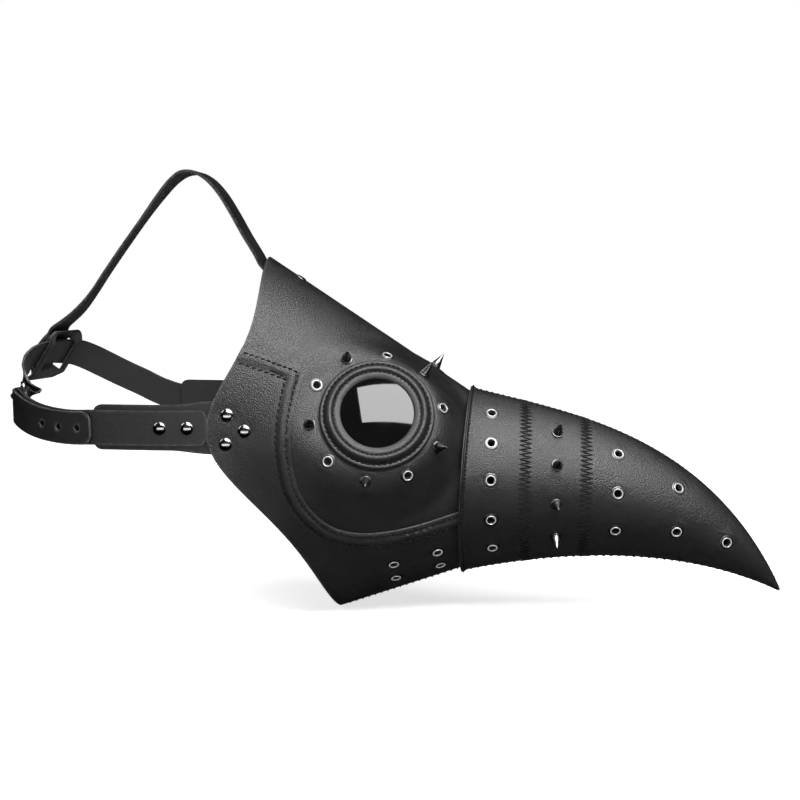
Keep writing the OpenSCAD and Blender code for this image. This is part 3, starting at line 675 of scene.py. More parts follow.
def two_faced(name, pattern, place, thickness, nodes, mirror=False, raise_by=None, bevel=0.4, material=MASK,
              slot="mask_leather", body="root"):
    """A leather piece with backing cloth on its inner face."""
    verts, faces, wear = thicken(pattern, place, thickness, bevel, raise_by)
    if mirror:
        verts, faces = mirrored(verts, faces)
    piece = make(name, verts, faces, material, body, nodes, slot, wear)
    piece.data.materials.append(BACKING)
    n = len(pattern.faces)
    index = np.zeros(len(faces), np.int32)
    index[n : 2 * n] = 1
    piece.data.polygons.foreach_set("material_index", index)
    return piece


def face_leather():
    eye_axis = [(EYE_C, EYE_N)]
    studded = spot_frames(face_at, EYE_EYELETS + EYE_SPIKES, 0.0)
    last_phi, lap = 128, 9
    eye = Pattern(np.linspace(0, 1, 119) * SPAN_T, np.linspace(-last_phi, last_phi, 221) * SPAN_PHI)
    eye.cut(lambda q: lap - beside_seam(q))
    eye.cut(round_hole(face_at, eye_axis, OPENING_R - 1, (SPAN_T, SPAN_PHI)))
    eye.cut(round_hole(face_at, studded, EYELET_BORE / 2, (SPAN_T, SPAN_PHI)))
    two_faced("eye_panel_leather", eye, face_place, LEATHER, ["eye_panel"])
    holes = spot_frames(face_at, CHIN_SPOTS, CHEEK_OFF)
    cheek = Pattern(np.linspace(0, 1, 119) * SPAN_T, np.linspace(45, 180, 122) * SPAN_PHI)
    cheek.cut(beside_seam)
    cheek.cut(round_hole(face_at, holes, EYELET_BORE / 2, (SPAN_T, SPAN_PHI)))

    def place(q, off):
        return face_place(q, np.where(off < 0, off + CHEEK_OFF, off))

    for side in ("right", "left"):
        two_faced(f"cheek_leather_{side}", cheek, place, LEATHER, [f"cheek_panel_{side}"], side == "left",
                  raise_by=cheek_relief, bevel=0.55)


SEAM_DIP = 2.2
REAR_ROW = 2.8                      # the stitches along the beak's folded rear edge


def beak_leather():
    holes = spot_frames(beak_at, BEAK_EYELET_SPOTS, 0.0)
    for i, part in enumerate(("base", "middle", "tip")):
        first, last = SEAMS[i], SEAMS[i + 1]
        rows = max(8, round((last - first) * BEAK_T / CELL))
        share = np.linspace(0, 1, rows + 1)
        if i == 0:
            edge = grown(9, 0.18, 1.28)
            edge /= (last - first) * BEAK_T
            share = np.concatenate([edge[:-1], np.linspace(edge[-1], 1, rows - 4)])
        sheet = Pattern(share, np.linspace(0, 180, 97) * BEAK_PHI)

        def lay(q, first=first, last=last, i=i):
            phi = q[:, 1] / BEAK_PHI
            a = column(first, phi) if i else np.full(len(q), 0.0)
            b = column(last, phi) if i < 2 else np.full(len(q), SEAMS[3])
            return np.stack([lerp(a, b, q[:, 0]) * BEAK_T, q[:, 1]], 1)

        sheet.p = lay(sheet.p)
        if i != 1:
            sheet.cut(round_hole(beak_at, holes, EYELET_BORE / 2, (BEAK_T, BEAK_PHI)))

        def relief(q, i=i):
            t, phi = q[:, 0] / BEAK_T, q[:, 1] / BEAK_PHI
            up = np.zeros(len(q))
            if i == 0:
                s = q[:, 0]
                up += 1.15 * (1 - ease((s - 1.3) / 1.2)) - 0.45 * bump_at(s - REAR_ROW, 0.8)
                up -= 0.9 * bump_at(s, 0.55)
                up += 0.5 * (1 - ease((s - 3) / 3.5))
            for seam in SEAMS[1:3]:
                up -= 0.45 * bump_at((t - column(seam, phi)) * BEAK_T, SEAM_DIP)
            return up

        def place(q, off, i=i):
            if i == 2:
                past = (np.asarray(off) < -1) & (q[:, 0] / BEAK_T > HOLLOW_T)
                q = np.where(past[:, None], np.stack([np.full(len(q), HOLLOW_T * BEAK_T), q[:, 1]], 1), q)
            return beak_place(q, off)

        for side in ("right", "left"):
            two_faced(f"beak_{part}_leather_{side}", sheet, place, LEATHER, [f"beak_{part}_panel_{side}"],
                      side == "left", raise_by=relief, bevel=0.35)


face_leather()
beak_leather()


# ---- studs: turned profiles, each a list of [radius, height] ----
def turned(name, profile, spots, material, nodes, slot, segments=32, mirror=False):
    """One mesh of the same turned shape at every (place, axis) spot."""
    profile = np.array(profile, float)
    angle = np.arange(segments) * 2 * np.pi / segments
    verts, faces = [], []
    rows = len(profile)
    for centre, n in spots:
        u = unit(np.cross(n, [0.3, 0.2, 0.93]))
        v = np.cross(n, u)
        start = len(verts) * segments
        for r, h in profile:
            verts.append(centre + h * n + r * (np.cos(angle)[:, None] * u + np.sin(angle)[:, None] * v))
        for i in range(rows - 1):
            for j in range(segments):
                k = (j + 1) % segments
                a, b = start + i * segments, start + (i + 1) * segments
                faces.append((a + j, a + k, b + k, b + j))
        if np.hypot(*(profile[0] - profile[-1])) > 1e-6:
            faces.append(tuple(start + j for j in reversed(range(segments))))
            faces.append(tuple(start + (rows - 1) * segments + j for j in range(segments)))
        else:
            end = start + (rows - 1) * segments
            faces = [tuple(start + i - end if end <= i < end + segments else i for i in f) for f in faces]
    verts = np.vstack(verts)
    if mirror:
        verts, faces = mirrored(verts, faces)
    return make(name, verts, faces, material, "root", nodes, slot, sharp=50)


def arc(cx, cy, rx, ry, a, b, n):
    return [(cx + rx * cosd(t), cy + ry * sind(t)) for t in np.linspace(a, b, n)]


def eyelet_profile():
    """A flat dark flange and the barrel through the leather."""
    inner, outer = EYELET_BORE / 2, EYELET_D / 2 - 0.15
    wall = [(inner + 0.42, -0.1), (inner + 0.42, -LEATHER - 1.9), (inner, -LEATHER - 1.9), (inner, 0.2)]
    return wall[1:] + [(inner + 1.0, 0.45), (outer - 0.35, 0.34), (outer, 0.12), (outer, -0.1)] + wall[:2]


def lip_profile():
    """The rolled lip round an eyelet's hole; it gets a lighter, part-matte copy of the metal as a painted
    reflection ring.
    """
    ring = arc(EYELET_BORE / 2 + 0.3, 0.45, 0.36, 0.42, 180, -180, 13)
    return ring[:-1] + ring[:1]


def spike_profile():
    """A rounded foot, a neck and a cone."""
    h, base, neck = 10.0, 3.5, 1.75
    foot = [(base * 0.8, -0.2), (base, 0.0), (base, 0.35)] + arc(base - 0.25, 0.75, 0.25, 0.35, 0, 80, 4)
    foot += [(base - 0.75, 1.15), (base - 0.72, 1.35), (base - 0.4, 1.5), (base - 0.42, neck)]
    cone = [(lerp(base - 0.42, 0.42, s**0.93), lerp(neck, h - 0.3, s)) for s in (0.25, 0.5, 0.75, 1)]
    return foot + cone + [(0.12, h)]


def rivet_profile():
    r, h, rim = 4.0, 2.2, 0.35
    dome = [(r * cosd(a), rim + (h - rim) * sind(a)) for a in (10, 22, 35, 48, 60, 72, 82)]
    return [(r - 0.5, -0.25), (r, 0.0), (r + 0.02, 0.3)] + dome + [(0.05, h)]


EYELET_SUNK, SPIKE_SUNK = 0.2, 0.1  # how far studs sit down in the leather


def studs():
    for side in ("right", "left"):
        m = side == "left"

        def row(name, profile, place, spots, off, material, nodes, slot, m=m, side=side):
            turned(f"{name}_{side}", profile, spot_frames(place, spots, off), material,
                   [f"{x}_{side}" for x in nodes], slot, mirror=m)

        eyelets = (("eye", face_at, EYE_EYELETS, 0), ("beak", beak_at, BEAK_EYELET_SPOTS, 0),
                   ("chin", face_at, CHIN_SPOTS, CHEEK_OFF))
        for name, place, spots, off in eyelets:
            row(f"{name}_eyelet_rings", eyelet_profile(), place, spots, off - EYELET_SUNK, DARK_NICKEL,
                [f"{name}_eyelets"], "eyelet_nickel")
        # the lips take the lighter, part-matte metal: a painted reflection ring on each eyelet
        for name, place, spots, off in eyelets:
            row(f"{name}_eyelet_lips", lip_profile(), place, spots, off - EYELET_SUNK, EYELET_LIP_PAINTED_GLINT, [],
                "eyelet_nickel")
        for name, place, spots in (("eye", face_at, EYE_SPIKES), ("beak", beak_at, BEAK_SPIKE_SPOTS)):
            row(f"{name}_cone_spikes", spike_profile(), place, spots, -SPIKE_SUNK, GUNMETAL,
                [f"{name}_spikes"], "spike_gunmetal")


# ---- stitches ----
def walk(points, normals_, pitch):
    """Places every pitch along a line: centre, direction and normal."""
    s, near = arc_length(points), 0.3
    at = np.arange(pitch / 2, s[-1], pitch)
    along = unit(resample(at + near, s, points) - resample(at - near, s, points))
    return resample(at, s, points), along, unit(resample(at, s, normals_))


def stitch_mesh(name, spots, radius, mirror=False, both=False):
    """One mesh of thread stitches; spots is [(start, end, normal)] arrays.

    Each stitch is a rounded bar that dives into the leather at its ends.
    """
    start, end, n = (np.vstack(x) for x in zip(*spots))
    mid, half = (start + end) / 2, (end - start) / 2
    axis = unit(half)
    side = unit(np.cross(n, axis))
    up = np.cross(axis, side)
    stations = ((-1.12, 0.2, -0.9), (-1.0, 0.7, -0.55), (-0.72, 1.0, 0.05), (0, 1.08, 0.4),
                (0.72, 1.0, 0.05), (1.0, 0.7, -0.55), (1.12, 0.2, -0.9))
    ring = [(cosd(a), sind(a)) for a in range(0, 360, 60)]
    verts = np.stack([mid + u * half + up * (lift * radius) + radius * size * (x * side + y * up)
                      for u, size, lift in stations for x, y in ring], 1)
    count, per = len(mid), len(stations) * 6
    one = [(i * 6 + j, i * 6 + (j + 1) % 6, i * 6 + 6 + (j + 1) % 6, i * 6 + 6 + j)
           for i in range(len(stations) - 1) for j in range(6)]
    one += [tuple(reversed(range(6))), tuple(range(per - 6, per))]
    faces = [tuple(k * per + i for i in f) for k in range(count) for f in one]
    verts = verts.reshape(-1, 3)
    if both:
        v2, f2 = mirrored(verts, faces)
        faces += [tuple(i + len(verts) for i in f) for f in f2]
        verts = np.vstack([verts, v2])
    elif mirror:
        verts, faces = mirrored(verts, faces)
    return make(name, verts, faces, THREAD, sharp=180)


def running(c, d, n, length, skew):
    """Stitches along a row, each turned by skew degrees out of the row's line."""
    side = np.cross(n, d)
    half = length / 2 * (cosd(skew) * d + sind(skew) * side)
    return c - half, c + half, n


def side_to_surface(xz):
    """The (t, phi) places on the face whose side view is at xz."""
    t, phi = np.meshgrid(np.linspace(0, 1, 60), np.linspace(20, 178, 120), indexing="ij")
    t, phi = t.ravel(), phi.ravel()
    seen = face_at(t, phi, CHEEK_OFF)[:, [0, 2]]
    near = [np.argmin(((seen - q) ** 2).sum(1)) for q in xz]
    t, phi = t[near], phi[near]
    for _ in range(6):
        p = face_at(t, phi, CHEEK_OFF)[:, [0, 2]]
        jt = (face_at(t + 0.002, phi, CHEEK_OFF)[:, [0, 2]] - p) / 0.002
        jp = (face_at(t, phi + 0.2, CHEEK_OFF)[:, [0, 2]] - p) / 0.2
        det = jt[:, 0] * jp[:, 1] - jt[:, 1] * jp[:, 0]
        e = xz - p
        t = np.clip(t + (e[:, 0] * jp[:, 1] - e[:, 1] * jp[:, 0]) / det, 0, 1)
        phi = np.clip(phi + (jt[:, 0] * e[:, 1] - jt[:, 1] * e[:, 0]) / det, 5, 180)
    return t, phi


def seam_row(s):
    """Points and normals of the line s behind the cheek panel's edge."""
    line = cheek_line
    dense = np.vstack([lerp(a, b, u) for a, b in zip(line[:-1], line[1:])
                       for u in np.linspace(0, 1, max(2, int(np.hypot(*(b - a)) / 0.8)))[:-1]])
    d = unit(np.gradient(dense, axis=0))
    row = dense + s * np.stack([d[:, 1], -d[:, 0]], 1)
    row = row[np.abs(line_distance(row, line) - s) < 0.12]
    rear = face_at(np.zeros(60), np.linspace(20, 100, 60), 0.0)
    first = np.interp(row[:, 1], rear[::-1, 2], rear[::-1, 0])
    row = row[(row[:, 0] > first + 1.5) & (row[:, 0] < 45.5)]
    t, phi = side_to_surface(row)
    q = np.stack([t * SPAN_T, phi * SPAN_PHI], 1)
    return face_place(q, cheek_relief(q) + 0.02), normals(face_mid, t, phi)


def beak_line(ts, phis, lift=0.0):
    return beak_at(ts, phis, np.full(len(ts), lift)), normals(beak_mid, np.minimum(ts, 0.985), phis)


ZIG_HALF, ZIG_PITCH = 4.3, 3.0


def zigzag(seam):
    phis = np.linspace(4, 175, 200)
    c, d, n = walk(*beak_line(column(seam, phis), phis, -0.1), ZIG_PITCH)
    side = unit(np.cross(n, d))
    a, b = c - ZIG_HALF * side, c + ZIG_HALF * side
    step = d * ZIG_PITCH / 4
    return [(a - step, b + step, n), (b + step, a + 3 * step, n)]


def over_edge(surface_line, edge_phi, inner_phi, pitch, lean):
    """Overcast stitches across a beak or chin ridge, from the edge to a little way down the side."""
    edge, n0 = surface_line(edge_phi)
    inside, n1 = surface_line(inner_phi)
    c, d, n = walk(edge, n0, pitch)
    reach = np.linalg.norm(edge - inside, axis=1).mean()
    share, given = np.linspace(0, 1, len(c)), np.linspace(0, 1, len(edge))
    down = unit(resample(share, given, inside - edge))
    m = unit(resample(share, given, n1))
    return c + 0.05 * m, c + reach * down + lean * d + 0.1 * m, m


def sewing():
    outer, inner = seam_row(ROW_OUT), seam_row(ROW_IN)
    for name, row, pitch, length in (("outer", outer, 3.5, 2.7), ("inner", inner, 3.9, 3.0)):
        stitch_mesh(f"cheek_stitches_{name}", [running(*walk(*row, pitch), length, 16)], 0.52, both=True)
    phis = np.linspace(3, 176, 220)
    q = np.stack([np.full(220, REAR_ROW), phis * BEAK_PHI], 1)
    rear = beak_place(q, np.full(220, 0.1)), normals(beak_mid, q[:, 0] / BEAK_T, phis)
    stitch_mesh("beak_edge_stitches", [running(*walk(*rear, 2.5), 2.0, 24)], 0.5, both=True)
    for k, seam in enumerate(SEAMS[1:3]):
        stitch_mesh(f"beak_zigzag_{k + 1}", zigzag(seam), 0.32, both=True)
    ts = np.linspace(0.02, 0.97, 200)
    top = over_edge(lambda phi: beak_line(ts, phi), np.interp(ts, [0, 0.6, 1], [5, 8, 16]),
                    np.interp(ts, [0, 0.6, 1], [10, 16, 34]), 3.7, 1.1)
    low = over_edge(lambda phi: beak_line(ts, phi), np.interp(ts, [0, 0.6, 1], [175, 172, 164]),
                    np.interp(ts, [0, 0.6, 1], [170, 164, 146]), 4.7, 1.1)
    stitch_mesh("beak_ridge_stitches", [top, low], 0.4, both=True)

    def chin(phi):
        t = np.linspace(0.03, 0.9, 100)
        phi = np.full(100, float(phi))
        return face_at(t, phi, np.full(100, CHEEK_OFF)), normals(face_mid, t, phi)

    stitch_mesh("chin_stitches", [over_edge(chin, 176.4, 173.2, 4.4, 1.1)], 0.42, both=True)


# ---- goggles ----
RING_OUT_ROW, RING_IN_ROW = 31.9, 26.1
OUT_PITCH, IN_PITCH = 3.3, 2.8
RING_PROFILE = [(33.9, 0.35), (34.4, 0.7), (34.5, 1.6), (34.2, 2.5), (33.5, 3.05), (32.7, 3.15), (31.9, 3.0),
                (31.3, 3.6), (30.5, 4.8), (29.6, 5.8), (28.6, 6.3), (27.5, 6.2), (26.7, 5.6), (26.1, 5.1),
                (25.4, 5.3), (24.1, 5.2), (22.6, 4.8), (21.5, 4.2), (21.1, 3.4), (21.1, 0.9), (23, 0.4),
                (30, 0.4)]


def ring_height(r):
    line = np.array([p for p in RING_PROFILE if p[1] > 1.9])[::-1]
    return np.interp(r, line[:, 0], line[:, 1])


def goggles():
    around = 288
    angle = np.arange(around) * 2 * np.pi / around
    profile = smooth_line(np.array([(*p, 0) for p in RING_PROFILE + RING_PROFILE[:1]]), 0.45)[:-1, :2]
    rows = len(profile)
    r = profile[:, 0][:, None] * np.ones(around)
    h = profile[:, 1][:, None] * np.ones(around)
    # the padding puckers a little at every stitch
    for row, pitch, depth in ((RING_OUT_ROW, OUT_PITCH, 0.3), (RING_IN_ROW, IN_PITCH, 0.28)):
        turns = round(2 * np.pi * row / pitch)
        pull = 0.55 + 0.45 * np.cos(turns * angle)
        h -= depth * bump_at(r - row, 0.75) * pull * (h > 1.8)
        h -= 0.10 * bump_at(r - row - np.sign(28.7 - row) * 1.6, 1.1) * np.cos(turns * angle) * (h > 1.8)
    radial = np.cos(angle)[:, None] * EYE_U + np.sin(angle)[:, None] * EYE_V
    verts = (EYE_C + r[..., None] * radial + h[..., None] * EYE_N).reshape(-1, 3)
    faces = [(i * around + j, i * around + (j + 1) % around, (i + 1) % rows * around + (j + 1) % around,
              (i + 1) % rows * around + j) for i in range(rows) for j in range(around)]
    spots = []
    for row, pitch, length in ((RING_OUT_ROW, OUT_PITCH, 2.3), (RING_IN_ROW, IN_PITCH, 1.9)):
        turns = round(2 * np.pi * row / pitch)
        a = np.arange(turns) * 2 * np.pi / turns
        out = np.cos(a)[:, None] * EYE_U + np.sin(a)[:, None] * EYE_V
        along = -np.sin(a)[:, None] * EYE_U + np.cos(a)[:, None] * EYE_V
        c = EYE_C + row * out + (ring_height(row) + 0.02) * EYE_N
        spots.append((c - along * length / 2, c + along * length / 2, np.broadcast_to(EYE_N, c.shape)))
    for side in ("right", "left"):
        v, f = (verts, faces) if side == "right" else mirrored(verts, faces)
        ring = make(f"goggle_pad_{side}", v, f, RING, replaces=[f"goggle_ring_{side}"], slot="goggle_leather",
                    sharp=60, flip=True)
        stitch_mesh(f"goggle_stitches_{side}", spots, 0.46, mirror=side == "left")


# ---- straps ----
class Ribbon:
    """A strap's middle line c, with the directions out of its face and across it."""

    def __init__(self, c, out, up):
        self.c, self.out, self.up = c, out, up
        self.s = arc_length(c)
        self.length = self.s[-1]

    def at(self, s):
        return [resample(s, self.s, rows) for rows in (self.c, self.out, self.up)]

    def place(self, q, off):
        c, out, up = self.at(q[:, 0])
        return c + q[:, 1:2] * up + (np.asarray(off) + STRAP_T / 2)[..., None] * out


def upward(v):
    """Each row, turned round if it points down."""
    return v * np.where(v[:, 2:] < 0, -1, 1)


def upright(route, side):
    """A ribbon along [x, y, z, lean]; side says on which hand of the route its outer face is."""
    line = smooth_line(route, 1.0)
    c, lean = line[:, :3], line[:, 3:4]
    d = unit(np.gradient(c, axis=0))
    o = side * unit(np.stack([d[:, 1], -d[:, 0], 0 * d[:, 0]], 1))
    out = cosd(lean) * o + sind(lean) * upward(unit(np.cross(o, d)))
    return Ribbon(c, out, upward(unit(np.cross(out, d))))


def rounded(length, width, first, last):
    """keep() for a strap's outline; first and last are its corner radii at the two ends."""
    def keep(q):
        s, w = q[:, 0], np.abs(q[:, 1])
        half = width(s) / 2 if callable(width) else width / 2
        r = np.where(s < length / 2, first, last)
        x = np.abs(s - length / 2) - length / 2 + r
        y = w - half + r
        return r - np.hypot(np.maximum(x, 0), np.maximum(y, 0)) - np.minimum(np.maximum(x, y), 0)
    return keep


def holes_at(centres, radius, stretch=0.0):
    """keep() for holes in a strap, each drawn long by stretch on both sides."""
    def keep(q):
        best = np.full(len(q), FAR)
        for s, w in centres:
            along = np.maximum(np.abs(q[:, 0] - s) - stretch, 0)
            best = np.minimum(best, np.hypot(along, q[:, 1] - w) - radius)
        return best
    return keep


def strap(name, ribbon, width, ends, nodes, holes=(), mirror=False):
    """A strap of a width, or a width at each place; holes is a list of holes_at() arguments."""
    cell, margin = 1.7, 0.6
    most = (max(width(np.linspace(0, ribbon.length, 50))) if callable(width) else width) / 2 + margin
    rows = np.linspace(-0.5, ribbon.length + 0.5, int(ribbon.length / cell) + 2)
    flat = Pattern(rows, np.linspace(-most, most, 2 * int(most / cell) + 1))
    flat.cut(rounded(ribbon.length, width, *ends), 0.5)
    for one in holes:
        flat.cut(holes_at(*one), 0.4)
    two_faced(name, flat, ribbon.place, STRAP_T, nodes, mirror, bevel=0.45, material=STRAP,
              slot="strap_leather")


TAB_ROUTE = [(-76, -68.6, -10, 6), (-90, -71.1, -10, 6), (-105, -73.9, -10, 5), (-109, -74.6, -10, 4.5),
             (-116, -75.6, -10, 3.5), (-132, -77.2, -10, 1), (-150, -78, -10, 0), (-166, -78.2, -10, 0),
             (-173, -78, -10, 0)]
RIVET_STATIONS = (4, 5)
HEEL, HEEL_TURN = np.array([-233.5, -46.0, -1.0]), 118.5
HEEL_U = np.array([cosd(HEEL_TURN), sind(HEEL_TURN), 0])
HEEL_N = np.array([-sind(HEEL_TURN), cosd(HEEL_TURN), 0])
FOLD_MID = WIRE_R + 0.4 + STRAP_T / 2
FOLD_OUT = WIRE_R + 0.4 + STRAP_T
HEAD_LEAN = 35.0
KEEP_A, KEEP_B = (-234.7, 35.0, 26.0), (-242.8, -16.5, 26.0)
FAR_ROUTE = [(-188, 78, -5.5, 4), (-202, 73.8, 2, 10), (-214, 67, 9, 17), (-223.5, 57.8, 16, 24),
             (-230.2, 47, 22, 31)]
DROOP = [(-243.9, -20.6, 21.5, 27), (-244, -23.5, 14.5, 15), (-242.7, -26, 6.5, 5)]
BUCKLE_PASS = [(20.5, -WIRE_R - STRAP_T / 2 - 0.5), (15.5, -WIRE_R - STRAP_T / 2 - 0.3),
               (2.5, FOLD_OUT + STRAP_T / 2 + 0.2), (0, FOLD_OUT + STRAP_T / 2 + GAP + 0.2),
               (-9, FOLD_MID + RIDE + 0.5)]


def by_heel(u, n):
    return (*(HEEL + u * HEEL_U + n * HEEL_N), 0)


def moved_out(route, i, side, off):
    """The route's point i moved outwards by off, as the CAD does."""
    p = np.array(route, float)
    d = unit((p[min(i + 1, len(p) - 1)] - p[max(i - 1, 0)])[:3])
    o = side * unit([d[1], -d[0], 0])
    up = unit(np.cross(o, d))
    up = up if up[2] > 0 else -up
    return (*(p[i, :3] + off * (cosd(p[i, 3]) * o + sind(p[i, 3]) * up)), p[i, 3])


BELT_FRONT = [moved_out(TAB_ROUTE, i, -1, LAYER) for i in range(2, 9)]
BELT = BELT_FRONT + [(-188, -78.2, -10.5, 0), (-202, -74.4, -9.5, 0), (-214, -69.2, -7.5, 0),
                     (-224, -62.9, -4.5, 0), by_heel(-9, FOLD_MID)]
FOLD = [by_heel(FOLD_MID * cosd(a), FOLD_MID * sind(a)) for a in range(90, -91, -30)] + [
    by_heel(-6, -FOLD_MID + 0.6), by_heel(-12, -FOLD_MID + 2.2), by_heel(-18, -0.6)]
FREE = [moved_out(BELT, i, -1, RIDE) for i in range(10, 5, -1)]
BILLET = ([(x, -y, z, lean) for x, y, z, lean in BELT_FRONT] + FAR_ROUTE
          + [(*KEEP_A, HEAD_LEAN), (*KEEP_B, HEAD_LEAN)] + DROOP + [by_heel(*q) for q in BUCKLE_PASS] + FREE)


def nearest(ribbon, point):
    return ribbon.s[np.argmin(np.linalg.norm(ribbon.c - np.asarray(point)[:3], axis=1))]


def tab_width(s):
    """Wide under the cheek panel, narrower from there on."""
    return 30.5 - 4.3 * ease((s - 26) / 26)


def harness():
    tab = upright(TAB_ROUTE, -1)
    stations = np.array([nearest(tab, TAB_ROUTE[i]) for i in RIVET_STATIONS])
    middle, out, _ = tab.at(stations)
    caps = list(zip(middle + (LAYER + STRAP_T / 2 - 0.1) * out, out))
    cheeks = spot_frames(face_at, CHEEK_RIVETS, CHEEK_OFF - 0.65)
    for side in ("right", "left"):
        m = side == "left"
        strap(f"strap_tab_leather_{side}", tab, tab_width, (6, 4.5), [f"strap_tab_{side}"], mirror=m)
        for name, spots in (("strap", caps), ("cheek", cheeks)):
            turned(f"{name}_rivet_caps_{side}", rivet_profile(), spots, CHROME, [f"{name}_rivets_{side}"],
                   "rivet_chrome", mirror=m)
    belt = upright(BELT + FOLD, -1)
    bar = nearest(belt, by_heel(FOLD_MID, 0))
    strap("buckle_strap_leather", belt, STRAP_W, (4.5, 3), ["buckle_strap"], [([(bar, 0)], 2.2, 3.5)])
    billet = upright(BILLET, 1)
    free = [(billet.length - x, 0) for x in (9, 22, 35)]
    engaged = nearest(billet, by_heel(9, 0))
    strap("billet_strap_leather", billet, STRAP_W, (4.5, 6), ["billet_strap"],
          [(free, 2.0), ([(engaged, 0)], 1.6, 4.5)])


def lenses():
    """Domed smoked lenses, seated in the goggle rings; each is twice LENS_T thick in the middle."""
    sag = LENS_DOME - math.sqrt(LENS_DOME**2 - LENS_R**2)
    rs = np.linspace(0, LENS_R, 14)

    def face(radius, lift, rs):
        base = LENS_SEAT + sag - LENS_DOME + lift
        return [(max(x, 0.05), base + math.sqrt(radius**2 - x * x)) for x in rs]

    profile = face(LENS_DOME, 0, rs) + face(LENS_DOME + LENS_T, LENS_T, rs[::-1])
    for side in ("right", "left"):
        turned(f"smoked_lens_{side}", profile, [(EYE_C, EYE_N)], LENS, [f"lens_{side}"], "lens", segments=96,
               mirror=side == "left")


# ---- top strap and its keeper ----
RIDGE = unit(np.array([FRONT_TOP[0] - FOREHEAD[0], 0, FRONT_TOP[1] - FOREHEAD[1]]))
RIDGE_UP = np.array([-RIDGE[2], 0, RIDGE[0]])
KEEP_MID = (np.array(KEEP_A) + np.array(KEEP_B)) / 2
KEEP_ALONG = unit(np.array(KEEP_B) - np.array(KEEP_A))
KEEP_FLAT = unit(np.cross(KEEP_ALONG, [0, 0, 1]))
KEEP_OUT = cosd(HEAD_LEAN) * KEEP_FLAT + sind(HEAD_LEAN) * np.array([0, 0, 1])
KEEP_UP = unit(np.cross(KEEP_ALONG, KEEP_OUT))
KEEP_UP = KEEP_UP * (1 if KEEP_UP[2] > 0 else -1)
SLIT_U, SLIT_HALF, SLIT_R = 11.8, 11.5, 0.8


def keeper_lift(u, v):
    """How far the keeper's leather stands outside the rear strap's middle.

    It is over the strap between the slits, and under it beside them.
    """
    ends = ease((20 - np.abs(v)) / 8)
    over = (2.9 + 4.4 * (1 - (np.minimum(np.abs(u), 12) / 12.5) ** 2)) * ends
    under = -2.9 * ends
    turn = 0.8 + 5 * ease((np.abs(v) - SLIT_HALF) / 5)
    return lerp(over, under, ease((np.abs(u) - SLIT_U + turn / 2) / turn))


def keeper_place(q, off):
    return (KEEP_MID + q[:, :1] * KEEP_ALONG + q[:, 1:2] * KEEP_UP
            + (keeper_lift(q[:, 0], q[:, 1]) + np.asarray(off) + STRAP_T / 2)[:, None] * KEEP_OUT)


def on_keeper(v, out):
    return KEEP_MID + v * KEEP_UP + out * KEEP_OUT


def forehead_rivet():
    """A low dark rivet through the fold of the ridge, holding the top strap underneath."""
    at = np.array([FOREHEAD[0], 0, FOREHEAD[1]]) + 24 * RIDGE
    r, grip = 3.6, LEATHER + 6.4
    profile = [(r - 0.4, -grip - 1), (r - 0.4, -grip), (1.5, -grip), (1.5, -0.4), (r - 0.3, -0.4), (r, -0.2),
               (r - 0.3, 0.2), (r * 0.7, 0.45), (r * 0.35, 0.55), (0.05, 0.58)]
    turned("forehead_rivet_low", profile, [(at, RIDGE_UP)], GUNMETAL, ["forehead_rivet"], "rivet_chrome")


def strap_keeper():
    """The leather plate with two slits, woven over and under the rear strap."""
    plate = Pattern(np.linspace(-18.5, 18.5, 48), np.linspace(-20.5, 20.5, 50))
    outline = rounded(36, 40, 6, 6)
    plate.cut(lambda q: outline(q + [18, 0]), 0.3)

    def off_slits(q):
        past_end = np.maximum(np.abs(q[:, 1]) - SLIT_HALF + SLIT_R, 0)
        return np.hypot(np.abs(q[:, 0]) - SLIT_U, past_end) - SLIT_R

    plate.cut(off_slits, 0.3)
    two_faced("keeper_leather", plate, keeper_place, STRAP_T, ["strap_keeper"], bevel=0.45, material=STRAP,
              slot="strap_leather", body="strap_keeper")


def over_head(tuck):
    """The top strap's ribbon, from under the forehead to the keeper, twisted a little behind the head."""
    route = [tuck + 34 * RIDGE, tuck + 17 * RIDGE, tuck, (-91.5, 0, 92), (-99.5, 0, 105), (-108, 0, 120),
             (-116, 0, 132.5), (-124, 0, 141), (-132, 0, 145.3), (-140, 0, 145.3), (-148, 0.3, 140.5),
             (-158, 0.8, 130), (-170, 1.6, 115.5), (-183, 2.8, 99.5), (-196, 4.2, 83), (-208, 5.8, 67.5),
             (-220, 7.3, 55), on_keeper(20.4, 5.8), on_keeper(13.5, 8.8), on_keeper(6.7, 10.7),
             on_keeper(-3.6, 11.8), on_keeper(-10.5, 11.9), on_keeper(-14, 10.6), on_keeper(-15, 9)]
    twist = np.interp(np.arange(len(route)), [0, 9, 12, 15, 18, len(route)], [0, 0, -10, -10, 0, 0])
    line = smooth_line([(*p, t) for p, t in zip(route, twist)], 1.0)
    c, turn = line[:, :3], line[:, 3:4]
    d = unit(np.gradient(c, axis=0))
    low = ease((c[:, 0] + 200) / -32)[:, None]
    across = unit(lerp(np.array([0, 1.0, 0]), -KEEP_ALONG, low))
    out = unit(np.cross(across, d))
    across = np.cross(d, out)
    return Ribbon(c, cosd(turn) * out + sind(turn) * across, cosd(turn) * across - sind(turn) * out)


